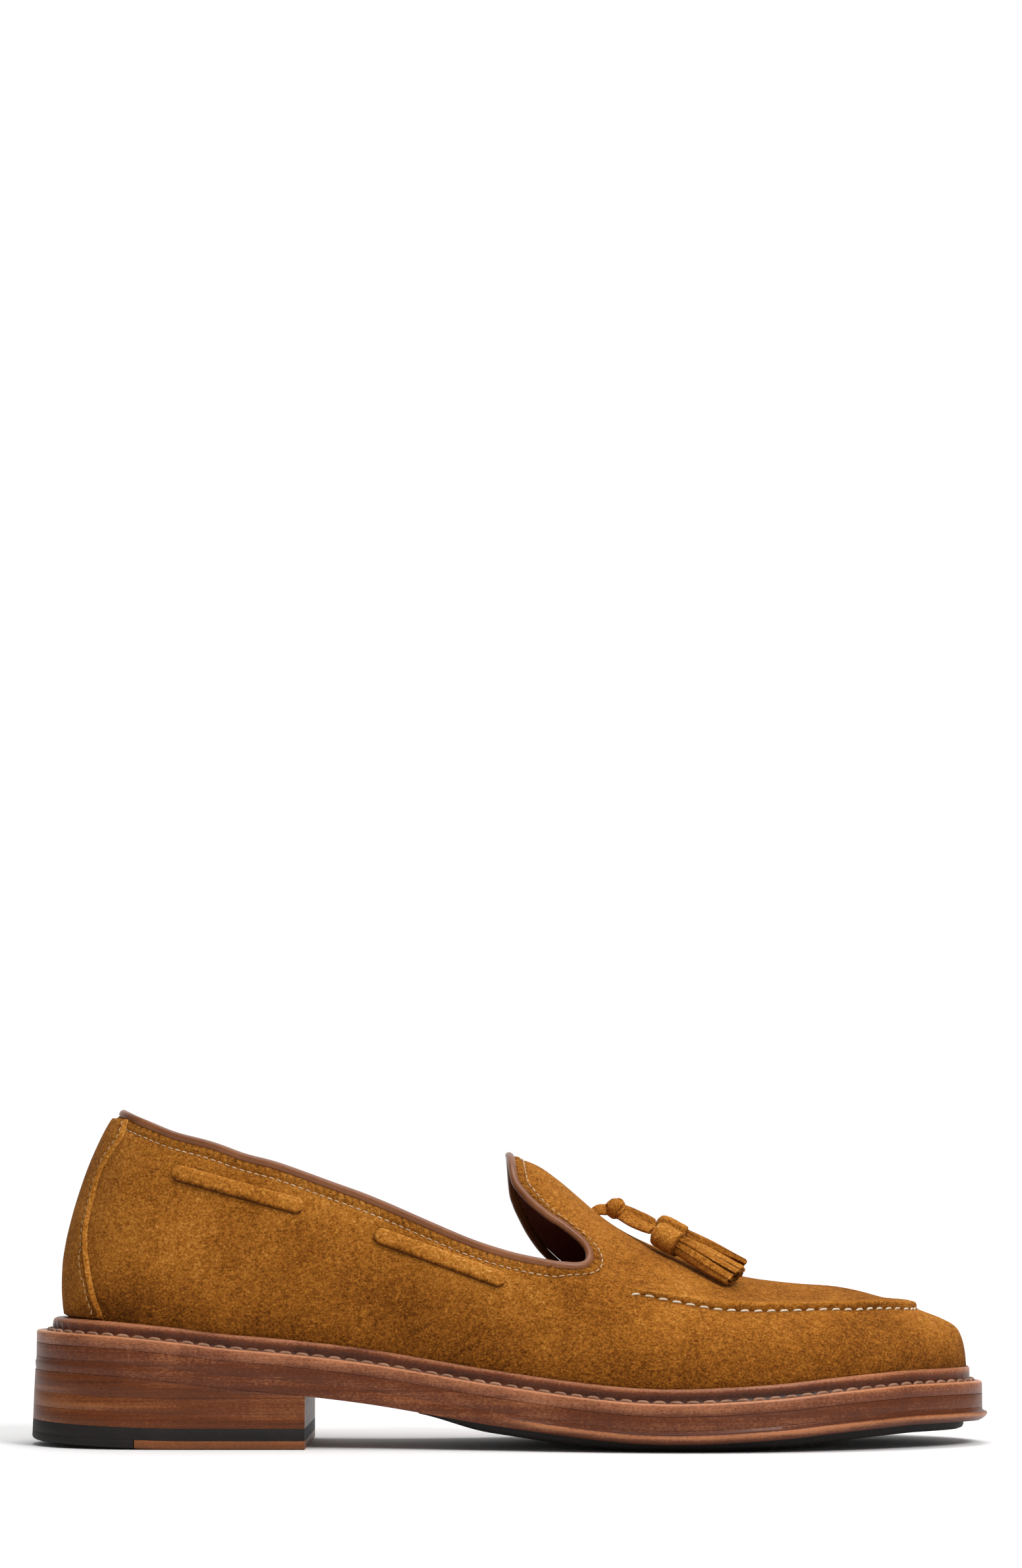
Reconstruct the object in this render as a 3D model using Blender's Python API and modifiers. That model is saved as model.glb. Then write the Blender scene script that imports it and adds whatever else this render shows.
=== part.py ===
"""Tassel loafer for the right foot: a suede slip-on on a stitched leather sole with a stacked heel.

Sizes are in millimetres. s runs from the back of the heel to the toe, y is negative on the outer
side of the foot and positive on the inner side, and z is the height above the floor. The tables hold
per cents of the named sizes, so the last, the sole and all that sits on them follow those sizes.
"""
import math

import bmesh
import bpy
import numpy as np
from mathutils import Matrix, Vector

MM = 0.001

# Sole
SOLE_LENGTH = 302.0
SOLE_WIDTH = 108.0
WELT_THICKNESS = 3.9
MIDSOLE_THICKNESS = 4.2
OUTSOLE_THICKNESS = 4.2
EDGE_INSET = 1.5
LIP_HEIGHT = 2.7
LIP_BEVEL = 2.2
LIP_START = 142.0
LIP_FADE = 22.0
TOE_SPRING = 5.5
HEEL_RISE = 21.1

# Thin rubber under the forepart
RUBBER_THICKNESS = 2.4
RUBBER_INSET = 7.5
RUBBER_START = 121.0
RUBBER_FEATHER = 24.0
RUBBER_THIN_EDGE = 0.4
BALL_FLAT_DEPTH = 0.4

# Heel
HEEL_LENGTH = 87.6
TOP_PIECE_THICKNESS = 2.7
RUBBER_LIFT_THICKNESS = 3.7
LIFT_COUNT = 2
WEDGE_FRONT_EDGE = 0.8
HEEL_FLARE = 1.0
HEEL_BACK_RISE = 1.8
HEEL_ROUND = 1.0
HEEL_FLAT_LENGTH = 38.0
TOP_PIECE_SEAM = 35.0

# Welt and its raised rim
WELT_ROOM = 7.2
RIM_HEIGHT = 4.3
RIM_WIDTH = 1.3
WELT_ROUND = 0.7

# Upper
UPPER_HEIGHT = 68.0
HEEL_LEAN = 16.7
LEAN_REACH = 90.0
WALL = 2.0
BELLY = 1.6
SKIRT_HEIGHT = 3.3
APRON_RAISE = 1.8
APRON_ROLL = 1.5
APRON_CREST = 5.0
APRON_FADE = 12.0
INSOLE_THICKNESS = 4.0

# Binding, back stay and the lace that shows on the sides
BINDING_DIAMETER = 3.0
BINDING_SIDES = 7
BINDING_SET_IN = 0.5
STAY_THICKNESS = 1.1
STAY_REACH = 16.0
LACE_MARGIN = 3.0
SIDE_LACE_WIDTH = 5.4
SIDE_LACE_THICKNESS = 1.2

# Tassels
THONG_WIDTH = 4.4
THONG_THICKNESS = 1.5
KNOT_LENGTH = 5.6
KNOT_WIDTH = 8.4
KNOT_HEIGHT = 7.0
CAP_LENGTH = 9.8
CAP_RADIUS = 4.1
FRINGE_LENGTH = 21.2
FRINGE_SPLAY = 1.2
FRINGE_FLATNESS = 0.54
STRIP_WIDTH = 2.6
STRIP_THICKNESS = 1.4
STRIP_COUNT = 9

GAP = 0.3
INSOLE_GAP = 0.8

# Plan of the sole: per cent of the length, then outer and inner half widths in per cent of the width
OUTLINE = (
    (1.0, 13.1, 13.1),
    (3.0, 21.5, 21.5),
    (5.0, 26.2, 26.0),
    (8.0, 30.0, 29.4),
    (13.0, 32.3, 31.5),
    (20.0, 32.9, 31.1),
    (29.0, 32.8, 28.1),
    (37.0, 34.3, 26.1),
    (43.0, 37.2, 26.8),
    (50.0, 41.7, 31.2),
    (56.0, 45.5, 36.9),
    (63.0, 48.9, 43.7),
    (69.0, 50.0, 48.1),
    (75.0, 48.7, 50.0),
    (80.0, 45.5, 49.5),
    (85.0, 40.4, 46.7),
    (89.0, 34.5, 42.6),
    (93.0, 26.8, 36.5),
    (96.5, 17.8, 29.0),
    (98.5, 10.6, 21.7),
)
TOE_POINT = 5.6

# Lift of the sole above its lowest part: per cent of the length, then of the heel rise and the toe spring
SOLE_PROFILE = (
    (0.0, 100.0, 0.0),
    (7.7, 95.3, 0.0),
    (15.4, 85.5, 0.0),
    (20.4, 76.8, 0.0),
    (25.4, 70.6, 0.0),
    (30.4, 63.5, 0.0),
    (35.5, 54.5, 0.0),
    (41.8, 40.3, 0.0),
    (46.2, 29.9, 0.0),
    (50.6, 20.9, 0.0),
    (55.0, 12.3, 0.0),
    (59.4, 5.2, 0.0),
    (63.5, 0.9, 0.0),
    (66.5, 0.0, 0.0),
    (69.5, 0.0, 3.6),
    (73.7, 0.0, 14.5),
    (78.1, 0.0, 30.9),
    (82.7, 0.0, 56.4),
    (87.2, 0.0, 76.4),
    (92.0, 0.0, 90.9),
    (97.1, 0.0, 92.0),
    (100.0, 0.0, 84.0),
)

# Welt room and rim width around the shoe: per cent of the length, then outer and inner room and rim in
# per cent of WELT_ROOM and RIM_WIDTH
WELT_PLAN = (
    (0.0, 146.0, 146.0, 300.0),
    (3.0, 133.0, 133.0, 265.0),
    (8.0, 110.0, 110.0, 170.0),
    (20.0, 86.0, 84.0, 110.0),
    (37.0, 80.0, 74.0, 100.0),
    (50.0, 86.0, 80.0, 100.0),
    (63.0, 98.0, 94.0, 100.0),
    (80.0, 102.0, 100.0, 100.0),
    (94.0, 99.0, 98.0, 90.0),
    (100.0, 89.0, 89.0, 52.0),
)

# Ridge of the last: per cent of the sole length, then its height above the welt in per cent of UPPER_HEIGHT
RIDGE = (
    (3.1, 136.0),
    (20.0, 133.5),
    (33.0, 126.2),
    (43.0, 115.4),
    (50.4, 104.3),
    (53.0, 101.1),
    (55.0, 96.3),
    (57.0, 89.8),
    (59.0, 83.1),
    (61.0, 77.6),
    (63.0, 73.2),
    (66.0, 67.4),
    (69.0, 62.4),
    (72.0, 57.5),
    (75.0, 53.1),
    (78.0, 50.2),
    (81.0, 47.7),
    (84.0, 45.3),
    (87.0, 41.8),
    (89.5, 37.7),
    (92.0, 34.1),
    (94.0, 30.6),
    (95.5, 27.8),
    (96.9, 23.8),
    (97.6, 17.0),
)

# Cross sections of the last: per cent of the length, sideways place of the ridge in per cent of the sole
# width, fullness of the outer and of the inner side (2 is an ellipse), and belly in per cent of BELLY
SECTIONS = (
    (3.0, 0.0, 2.2, 2.2, 0.0),
    (10.0, 0.4, 2.4, 2.4, 70.0),
    (20.0, 1.2, 2.9, 3.0, 100.0),
    (33.0, 2.8, 2.8, 3.1, 90.0),
    (46.0, 4.6, 2.35, 3.0, 50.0),
    (58.0, 5.6, 2.1, 2.8, 40.0),
    (66.0, 5.4, 2.05, 2.5, 40.0),
    (76.0, 4.8, 2.1, 2.35, 40.0),
    (87.0, 4.8, 2.2, 2.3, 20.0),
    (100.0, 5.6, 2.2, 2.2, 0.0),
)

# Curve of the back of the heel: height above the welt in per cent of UPPER_HEIGHT, then the lean forward in
# per cent of HEEL_LEAN
BACK_CURVE = (
    (0.0, 2.0),
    (7.0, 2.0),
    (12.0, -0.5),
    (21.0, -2.8),
    (30.0, -1.8),
    (39.0, 3.0),
    (50.6, 13.4),
    (63.0, 27.8),
    (74.6, 44.0),
    (83.5, 59.0),
    (95.0, 82.5),
    (100.0, 97.0),
    (140.0, 220.0),
)

# Edge of the opening from the back of the heel to the tongue: per cent of the sole length, then the height
# above the welt in per cent of UPPER_HEIGHT. The last point of the edge lies on the ridge.
OUTER_EDGE = (
    (12.6, 94.1),
    (16.6, 89.9),
    (21.5, 85.6),
    (26.0, 81.7),
    (32.7, 74.2),
    (37.1, 69.3),
    (41.6, 63.9),
    (46.0, 59.1),
    (50.5, 56.0),
    (53.6, 55.3),
    (55.9, 55.6),
    (57.5, 56.8),
    (58.4, 59.3),
    (58.7, 62.8),
    (58.5, 66.5),
    (57.8, 70.6),
    (56.8, 74.1),
    (55.6, 77.6),
    (54.2, 80.9),
    (52.9, 84.7),
    (51.8, 89.1),
    (50.9, 95.0),
)
INNER_EDGE = (
    (12.6, 91.8),
    (16.6, 86.6),
    (21.5, 81.6),
    (26.0, 77.0),
    (32.7, 68.5),
    (37.1, 63.1),
    (41.6, 57.9),
    (46.0, 53.6),
    (49.7, 51.4),
    (52.3, 49.4),
    (54.3, 49.2),
    (55.7, 50.6),
    (56.2, 53.3),
    (56.0, 56.2),
    (55.1, 59.5),
    (53.7, 64.8),
    (52.6, 70.9),
    (51.8, 77.0),
    (51.1, 83.5),
    (50.7, 91.2),
)
TONGUE_TIP = 50.4

# Seam of the apron and, behind its end, the mid line of the quarters: per cent of the sole length, then the
# height above the welt in per cent of UPPER_HEIGHT. It ends on the ridge.
APRON_SEAM = (
    (3.1, 48.0),
    (20.0, 42.0),
    (40.0, 34.0),
    (50.0, 34.0),
    (56.0, 41.0),
    (62.3, 48.0),
    (65.2, 46.4),
    (67.3, 44.6),
    (69.6, 42.6),
    (71.8, 40.7),
    (75.1, 39.1),
    (78.5, 38.2),
    (81.9, 37.0),
    (85.4, 35.6),
    (87.7, 35.1),
    (90.2, 33.9),
    (91.7, 33.3),
)
APRON_TIP = 92.8
APRON_START = 62.3
APRON_FULL = 68.0

# Lines of the upper from its foot to the opening: place of the foot, of the crossing of the apron seam (both
# per cent of the sole length), and share of the tongue's edge that is reached in per cent
FRONT_LINES = (
    (54.0, 53.5, 0.0),
    (60.0, 58.5, 4.0),
    (64.0, 62.5, 12.0),
    (70.0, 68.0, 24.0),
    (78.0, 75.0, 40.0),
    (86.0, 82.0, 57.0),
    (92.0, 87.3, 71.0),
    (96.5, 91.0, 84.0),
    (99.0, 92.35, 93.0),
    (100.0, 92.8, 100.0),
)
LINE_FEET = (
    (0.0, 0.25, 0.9, 2.0, 3.6, 6.0, 9.5, 14.0, 19.0, 24.5, 30.5, 36.5, 42.0, 46.5, 50.0, 53.0)
    + (55.5, 57.6, 59.5, 61.8, 64.5, 68.0, 72.0, 76.0, 80.0, 83.5, 87.0, 90.0, 92.6, 95.0, 96.9)
    + (98.3, 99.25, 99.8, 100.0)
)

# Front edge of the back stay: per cent of the sole length, then the height above the welt in per cent of
# UPPER_HEIGHT
STAY_EDGE = (
    (8.3, 5.0),
    (7.8, 11.0),
    (7.2, 17.4),
    (6.6, 28.5),
    (6.2, 39.6),
    (6.2, 48.5),
    (6.7, 60.7),
    (7.3, 72.1),
    (8.3, 81.3),
    (9.7, 90.9),
    (10.2, 101.0),
    (10.4, 110.0),
)

# Parts of the lace that show on the sides: name, then the place and height of the middle of each end, in
# per cent of the sole length and of UPPER_HEIGHT above the welt
SIDE_LACES = (
    ("rear", 15.9, 76.2, 27.8, 67.1),
    ("front", 36.8, 57.8, 48.6, 47.4),
)

# Places over the vamp: per cent of the sole length and of the sole width, then the height above the ridge
# Tassels: name, start of the cap, a point the tassel aims at, and how far its flat side turns sideways
TASSELS = (
    ("outer", (65.0, -7.4, 4.5), (73.6, -19.4, -0.5), -0.5),
    ("inner", (65.4, 11.1, 7.2), (75.5, 18.5, 1.4), 0.35),
)

# Lace from the knot to each cap: name, then the places along its middle
STRANDS = (
    ("outer", ((61.8, 2.3, 4.9), (62.9, -1.1, 4.5), (63.9, -4.6, 4.5), (64.85, -7.1, 4.7))),
    ("inner", ((61.95, 6.8, 6.4), (63.1, 8.1, 7.1), (64.1, 9.6, 7.4), (65.25, 10.8, 7.3))),
)
KNOT_PLACE = (61.1, 4.8, 5.6)
LACE_HOLE = (59.0, 4.8, 3.55)
LACE_FACING = (0.0, -0.8, 0.6)


def slopes(xs, ys):
    """Slopes of the monotone cubic through the points, with no overshoot between them."""
    widths = np.diff(xs)
    rates = np.diff(ys) / widths
    inner = np.zeros(len(xs))
    same = rates[:-1] * rates[1:] > 0
    before = 2 * widths[1:] + widths[:-1]
    after = widths[1:] + 2 * widths[:-1]
    safe = np.where(same, rates[:-1], 1.0), np.where(same, rates[1:], 1.0)
    inner[1:-1] = np.where(same, (before + after) / (before / safe[0] + after / safe[1]), 0.0)
    inner[0], inner[-1] = rates[0], rates[-1]
    return inner


def smooth(xs, ys, at):
    """Reads the monotone cubic through (xs, ys) at the given places."""
    xs, ys, at = (np.asarray(values, float) for values in (xs, ys, at))
    rise = slopes(xs, ys)
    at = np.clip(at, xs[0], xs[-1])
    i = np.clip(np.searchsorted(xs, at) - 1, 0, len(xs) - 2)
    width = xs[i + 1] - xs[i]
    t = (at - xs[i]) / width
    start = (1 + 2 * t) * (1 - t) ** 2 * ys[i] + t * (1 - t) ** 2 * width * rise[i]
    end = t * t * (3 - 2 * t) * ys[i + 1] + t * t * (t - 1) * width * rise[i + 1]
    return start + end


def column(table, number):
    return np.array([row[number] for row in table], float)


def ease(t):
    """0 below 0, 1 above 1, and a smooth step between."""
    t = np.clip(t, 0.0, 1.0)
    return t * t * (3 - 2 * t)


def welt_top(s):
    """Height of the welt's top face at a place along the shoe."""
    share = np.asarray(s, float) / SOLE_LENGTH * 100
    heel = smooth(column(SOLE_PROFILE, 0), column(SOLE_PROFILE, 1), share) * HEEL_RISE / 100
    toe = smooth(column(SOLE_PROFILE, 0), column(SOLE_PROFILE, 2), share) * TOE_SPRING / 100
    stack = RUBBER_THICKNESS + OUTSOLE_THICKNESS + MIDSOLE_THICKNESS + WELT_THICKNESS
    return stack + heel + toe


def midsole_top(s):
    return welt_top(s) - WELT_THICKNESS


def outsole_top(s):
    return midsole_top(s) - MIDSOLE_THICKNESS


def outsole_bottom(s):
    return outsole_top(s) - OUTSOLE_THICKNESS


def turn_of(s, low=0.0, high=SOLE_LENGTH):
    """Angle along the outline whose cosine gives the place s, so that both round ends are sampled well."""
    return np.arccos(np.clip(1 - 2 * (np.asarray(s, float) - low) / (high - low), -1.0, 1.0))


def wrapped(angles, values):
    """Repeats a closed table before and after itself, so that its curve closes smoothly."""
    turn = 2 * math.pi
    return (
        np.concatenate([np.array(angles) - turn, angles, np.array(angles) + turn]),
        np.concatenate([values, values, values]),
    )


def cubic(xs, ys, at):
    """Reads the natural cubic spline through (xs, ys)."""
    count, widths = len(xs), np.diff(xs)
    system, right = np.eye(count), np.zeros(count)
    for i in range(1, count - 1):
        system[i, i - 1 : i + 2] = widths[i - 1], 2 * (widths[i - 1] + widths[i]), widths[i]
        right[i] = 6 * ((ys[i + 1] - ys[i]) / widths[i] - (ys[i] - ys[i - 1]) / widths[i - 1])
    bend = np.linalg.solve(system, right)
    i = np.clip(np.searchsorted(xs, at) - 1, 0, count - 2)
    width = widths[i]
    after, before = at - xs[i], xs[i + 1] - at
    curve = (bend[i] * before**3 + bend[i + 1] * after**3) / (6 * width)
    line = (ys[i] / width - bend[i] * width / 6) * before
    return curve + line + (ys[i + 1] / width - bend[i + 1] * width / 6) * after


def place_of(turn):
    """Place along the shoe of an angle round the outline."""
    return SOLE_LENGTH / 2 * (1 - np.cos(np.asarray(turn, float)))


def outline_y(turn):
    """Sideways place of the sole's outline at an angle: outer side up to pi, inner side beyond it."""
    places = turn_of(column(OUTLINE, 0) / 100 * SOLE_LENGTH)
    outer = -column(OUTLINE, 1) * SOLE_WIDTH / 100
    inner = column(OUTLINE, 2) * SOLE_WIDTH / 100
    angles = np.concatenate([[0.0], places, [math.pi], (2 * math.pi - places)[::-1]])
    values = np.concatenate([[0.0], outer, [TOE_POINT * SOLE_WIDTH / 100], inner[::-1]])
    xs, ys = wrapped(angles, values)
    return cubic(xs, ys, np.asarray(turn, float))


def outline(turn, inset=0.0):
    """Point (s, y) of the sole's outline at an angle, moved inwards along its normal."""
    turn = np.asarray(turn, float)
    small = 1e-4

    def at(angle):
        return np.stack([place_of(angle), outline_y(angle)], -1)

    along = at(turn + small) - at(turn - small)
    along /= np.linalg.norm(along, axis=-1, keepdims=True)
    inwards = np.stack([-along[..., 1], along[..., 0]], -1)
    return at(turn) + inwards * np.asarray(inset, float)[..., None]


def by_side(turn, table, outer, inner):
    """Reads a table of the welt plan at an angle: one column for the outer side, one for the inner side."""
    share = (1 - np.cos(turn)) * 50
    places = column(table, 0)
    return np.where(
        np.asarray(turn) <= math.pi,
        smooth(places, column(table, outer), share),
        smooth(places, column(table, inner), share),
    )


def welt_room(turn):
    return by_side(turn, WELT_PLAN, 1, 2) / 100 * WELT_ROOM


def upper_foot(turn, outwards=0.0):
    """Outline of the upper where it stands on the midsole."""
    return outline(turn, welt_room(turn) - outwards)


FOOT_TURNS = np.linspace(0, math.pi, 241)
FOOT = {-1: upper_foot(FOOT_TURNS), 1: upper_foot(2 * math.pi - FOOT_TURNS)}
FOOT_BACK = float(FOOT[-1][0, 0])
FOOT_FRONT = float(FOOT[-1][-1, 0])


def skirt_top(s):
    """Height at which the straight foot of the upper ends and its curve begins."""
    return welt_top(s) + SKIRT_HEIGHT


def above_welt(s, share):
    return welt_top(s) + share / 100 * UPPER_HEIGHT


def along_last(xi):
    """Angle used to read the last's tables, dense at both ends."""
    return turn_of(xi, FOOT_BACK, FOOT_FRONT)


def foot_width(xi, side):
    """Sideways place of the upper's foot at xi."""
    return np.interp(along_last(xi), along_last(FOOT[side][:, 0]), FOOT[side][:, 1])


def ridge_height(xi):
    """Height of the last's ridge. It comes down to the skirt at the toe."""
    places = np.concatenate([column(RIDGE, 0) / 100 * SOLE_LENGTH, [FOOT_FRONT]])
    heights = np.concatenate([column(RIDGE, 1) / 100 * UPPER_HEIGHT, [SKIRT_HEIGHT]])
    return welt_top(xi) + smooth(along_last(places), heights, along_last(xi))


def over_vamp(places):
    """Points over the vamp, from places given along the shoe, across it and above the ridge."""
    along, across, above = np.array(places, float).reshape(-1, 3).T
    s = along / 100 * SOLE_LENGTH
    return np.column_stack([s, across / 100 * SOLE_WIDTH, ridge_height(s) + above])


def section(xi, number):
    return smooth(column(SECTIONS, 0) / 100 * SOLE_LENGTH, column(SECTIONS, number), xi)


def ridge_side(xi):
    return section(xi, 1) / 100 * SOLE_WIDTH


def fullness(xi, side):
    return np.where(side < 0, section(xi, 2), section(xi, 3))


def lean(xi, z):
    """How far the back of the heel leans towards the toe, fading out along the quarters."""
    share = (z - welt_top(xi)) / UPPER_HEIGHT * 100
    amount = smooth(column(BACK_CURVE, 0), column(BACK_CURVE, 1), share) / 100 * HEEL_LEAN
    return amount * (1 - ease((xi - FOOT_BACK) / LEAN_REACH))


def last_point(xi, theta, side):
    """Point of the last's surface. theta is 0 on the ridge and a right angle at the foot.

    Each section is a superellipse between the foot and the ridge, leaned at the heel, with a belly.
    """
    xi, theta, side = np.broadcast_arrays(
        np.asarray(xi, float), np.asarray(theta, float), np.asarray(side, float)
    )
    power = 2 / fullness(xi, side)
    rise = np.clip(np.cos(theta), 0, 1) ** power
    foot = np.where(side < 0, foot_width(xi, -1), foot_width(xi, 1))
    base = skirt_top(xi)
    z = base + (ridge_height(xi) - base) * rise
    half = np.abs(foot - ridge_side(xi))
    out = half * np.clip(np.sin(theta), 0, 1) ** power
    out = out + section(xi, 4) / 100 * BELLY * np.sin(math.pi * rise) * np.clip(half / 20, 0, 1)
    return np.stack([xi + lean(xi, z), ridge_side(xi) + side * out, z], -1)


def last_normal(xi, theta, side):
    """Outward normal of the last's surface, from differences."""
    xi, theta, side = np.broadcast_arrays(
        np.asarray(xi, float), np.asarray(theta, float), np.asarray(side, float)
    )
    along = last_point(xi + 0.2, theta, side) - last_point(xi - 0.2, theta, side)
    low = np.clip(theta - 0.01, 0.001, None)
    high = np.clip(theta + 0.01, None, math.pi / 2 - 0.0001)
    down = last_point(xi, high, side) - last_point(xi, low, side)
    normal = np.cross(along, down) * side[..., None]
    return normal / np.linalg.norm(normal, axis=-1, keepdims=True)


def theta_at(xi, z, side):
    """Angle at which the section at xi has the height z."""
    base = skirt_top(xi)
    rise = np.clip((z - base) / (ridge_height(xi) - base), 0, 1)
    return np.arccos(rise ** (fullness(xi, side) / 2))


def on_last(s, z, side):
    """Turns a place seen from the side into (xi, theta) on the last."""
    s, z = np.asarray(s, float), np.asarray(z, float)
    xi = s.copy()
    for _ in range(30):
        xi = xi + 0.7 * (s - xi - lean(xi, z))
    xi = np.maximum(xi, FOOT_BACK)
    return xi, theta_at(xi, z, side)


def curve_through(points, count_between=12):
    """A smooth curve through points (Catmull-Rom), with its running length."""
    points = np.array(points, float)
    padded = np.vstack([2 * points[0] - points[1], points, 2 * points[-1] - points[-2]])
    pieces = []
    for i in range(len(points) - 1):
        a, b, c, d = padded[i : i + 4]
        t = np.linspace(0, 1, count_between, endpoint=False)[:, None]
        pieces.append(
            0.5 * (2 * b + (c - a) * t + (2 * a - 5 * b + 4 * c - d) * t**2 + (3 * b - a - 3 * c + d) * t**3)
        )
    return np.vstack(pieces + [points[-1:]])


def edge_curve(side):
    """Edge of the opening on one side, as (xi, theta) from the back of the heel to the tongue's tip."""
    rows = OUTER_EDGE if side < 0 else INNER_EDGE
    s = column(rows, 0) / 100 * SOLE_LENGTH
    xi, theta = on_last(s, above_welt(s, column(rows, 1)), side)
    back_s = FOOT_BACK + HEEL_LEAN
    back = (FOOT_BACK, float(theta_at(FOOT_BACK, above_welt(back_s, 100.0), side)))
    ends = [back] + list(zip(xi, theta)) + [(TONGUE_TIP / 100 * SOLE_LENGTH, 0.0)]
    return curve_through(ends)


def apron_curve(side):
    """Seam of the apron and mid line of the quarters, as (xi, theta) up to the ridge."""
    s = column(APRON_SEAM, 0) / 100 * SOLE_LENGTH
    xi = np.maximum(s, FOOT_BACK)
    theta = theta_at(xi, above_welt(s, column(APRON_SEAM, 1)), side)
    return curve_through(list(zip(xi, theta)) + [(APRON_TIP / 100 * SOLE_LENGTH, 0.0)])


def running(points):
    """Share of a polyline's length reached at each of its points."""
    steps = np.linalg.norm(np.diff(points, axis=0), axis=1)
    length = np.concatenate([[0.0], np.cumsum(steps)])
    return length / length[-1]


def read_curve(curve, reached, share):
    return np.stack([np.interp(share, reached, curve[:, k]) for k in range(curve.shape[1])], -1)


def plan_path(start, end, shares, side):
    """Straight path in the plan from one (xi, theta) to another, as (xi, theta).

    A straight line seen from above goes up over the toe the short way.
    """
    power = 2 / fullness(np.array([start[0], end[0]]), side)
    half = np.abs(foot_width(np.array([start[0], end[0]]), side) - ridge_side(np.array([start[0], end[0]])))
    y = half * np.sin(np.array([start[1], end[1]])) ** power
    xi = start[0] + (end[0] - start[0]) * shares
    across = y[0] + (y[1] - y[0]) * shares
    room = np.maximum(np.abs(foot_width(xi, side) - ridge_side(xi)), 1e-6)
    ratio = np.clip(across / room, 0, 1) ** (fullness(xi, side) / 2)
    return np.stack([xi, np.arcsin(np.clip(ratio, 0, 1))], -1)


def blend_path(start, end, shares, side, plan):
    """Path between two points: straight in (xi, theta) on the quarters, straight in the plan in front."""
    direct = np.array(start) + (np.array(end) - np.array(start)) * shares[:, None]
    if plan <= 0:
        return direct
    return direct * (1 - plan) + plan_path(start, end, shares, side) * plan


WALL_ROWS = 7
APRON_RIDGE = (100.0, 80.0, 25.0)
CROWN_SHARES = (0.05, 0.12, 0.22, 0.35, 0.5, 0.66, 0.83, 1.0)


def upper_line(foot_share, side):
    """One line of the upper from its foot to the opening: (xi, theta) and the raise at each row."""
    apron, edge = apron_curve(side), edge_curve(side)
    edge_reached = running(last_point(edge[:, 0], edge[:, 1], side))
    notch = int(np.argmax(edge[:, 0]))
    turn = math.acos(1 - 2 * foot_share / 100)
    foot_xi = float(upper_foot(np.array([turn if side < 0 else 2 * math.pi - turn]))[0, 0])
    first = FRONT_LINES[0][0]
    if foot_share <= first:
        seam_xi = foot_xi
        edge_share = np.interp(foot_xi, edge[:notch, 0], edge_reached[:notch])
        if foot_share == 0:
            edge_share = 0.0
    else:
        seam_share = smooth(column(FRONT_LINES, 0), column(FRONT_LINES, 1), foot_share)
        seam_xi = float(seam_share) / 100 * SOLE_LENGTH
        reached = float(smooth(column(FRONT_LINES, 0), column(FRONT_LINES, 2), foot_share)) / 100
        last = np.interp(first / 100 * SOLE_LENGTH, edge[:notch, 0], edge_reached[:notch])
        edge_share = last + (1 - last) * reached
    seam_theta = float(np.interp(seam_xi, apron[:, 0], apron[:, 1]))
    top = read_curve(edge, edge_reached, edge_share)
    plan = float(ease((foot_share - 62.0) / 14.0))
    start, middle = (foot_xi, math.pi / 2), (seam_xi, seam_theta)
    steps = np.linspace(0, 1, WALL_ROWS)
    rounded = 1 - np.cos(steps * math.pi / 2)
    wall_shares = steps * (1 - plan) + rounded * plan
    wall = blend_path(start, middle, wall_shares, side, plan)
    far = last_point(*top, side) - last_point(seam_xi, seam_theta, side)
    length = float(np.linalg.norm(far))
    crown_shares = np.array(CROWN_SHARES)
    crown_shares[:3] = np.minimum(
        crown_shares[:3], np.array([APRON_ROLL, APRON_CREST, APRON_FADE]) / length
    )
    crown = blend_path(middle, tuple(top), crown_shares, side, plan)
    full = float(ease((seam_xi / SOLE_LENGTH * 100 - APRON_START) / (APRON_FULL - APRON_START)))
    raised = np.zeros(WALL_ROWS + len(CROWN_SHARES))
    raised[WALL_ROWS : WALL_ROWS + len(APRON_RIDGE)] = np.array(APRON_RIDGE) / 100 * APRON_RAISE * full
    return np.vstack([wall, crown]), raised


def to_metres(points):
    """Shoe millimetres to metres, with the middle of the sole's length at x = 0."""
    points = np.array(points, float)
    return (points - np.array([SOLE_LENGTH / 2, 0.0, 0.0])) * MM


def material(name, colour, roughness):
    made = bpy.data.materials.new(name)
    made.use_nodes = True
    shader = made.node_tree.nodes["Principled BSDF"]
    shader.inputs["Base Color"].default_value = (*colour, 1.0)
    shader.inputs["Roughness"].default_value = roughness
    shader.inputs["Metallic"].default_value = 0.0
    made.diffuse_color = (*colour, 1.0)
    return made


def new_object(name, mesh, finish, smooth_faces=True):
    """Puts a mesh in the shoe's collection under its name, with its material."""
    thing = bpy.data.objects.new(name, mesh)
    mesh.materials.clear()
    mesh.materials.append(finish)
    SHOE.objects.link(thing)
    if smooth_faces:
        mesh.shade_smooth()
        mesh.set_sharp_from_angle(angle=math.radians(35))
    return thing


def mesh_of(name, vertices, faces, closed=True):
    """Mesh from vertices in shoe millimetres, with doubles merged and, if closed, faces turned outwards."""
    mesh = bpy.data.meshes.new(name)
    mesh.from_pydata([tuple(v) for v in to_metres(vertices)], [], faces)
    work = bmesh.new()
    work.from_mesh(mesh)
    bmesh.ops.remove_doubles(work, verts=work.verts, dist=1e-7)
    bmesh.ops.dissolve_degenerate(work, edges=work.edges, dist=1e-7)
    if closed:
        bmesh.ops.recalc_face_normals(work, faces=work.faces)
    work.to_mesh(mesh)
    work.free()
    return mesh


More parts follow.
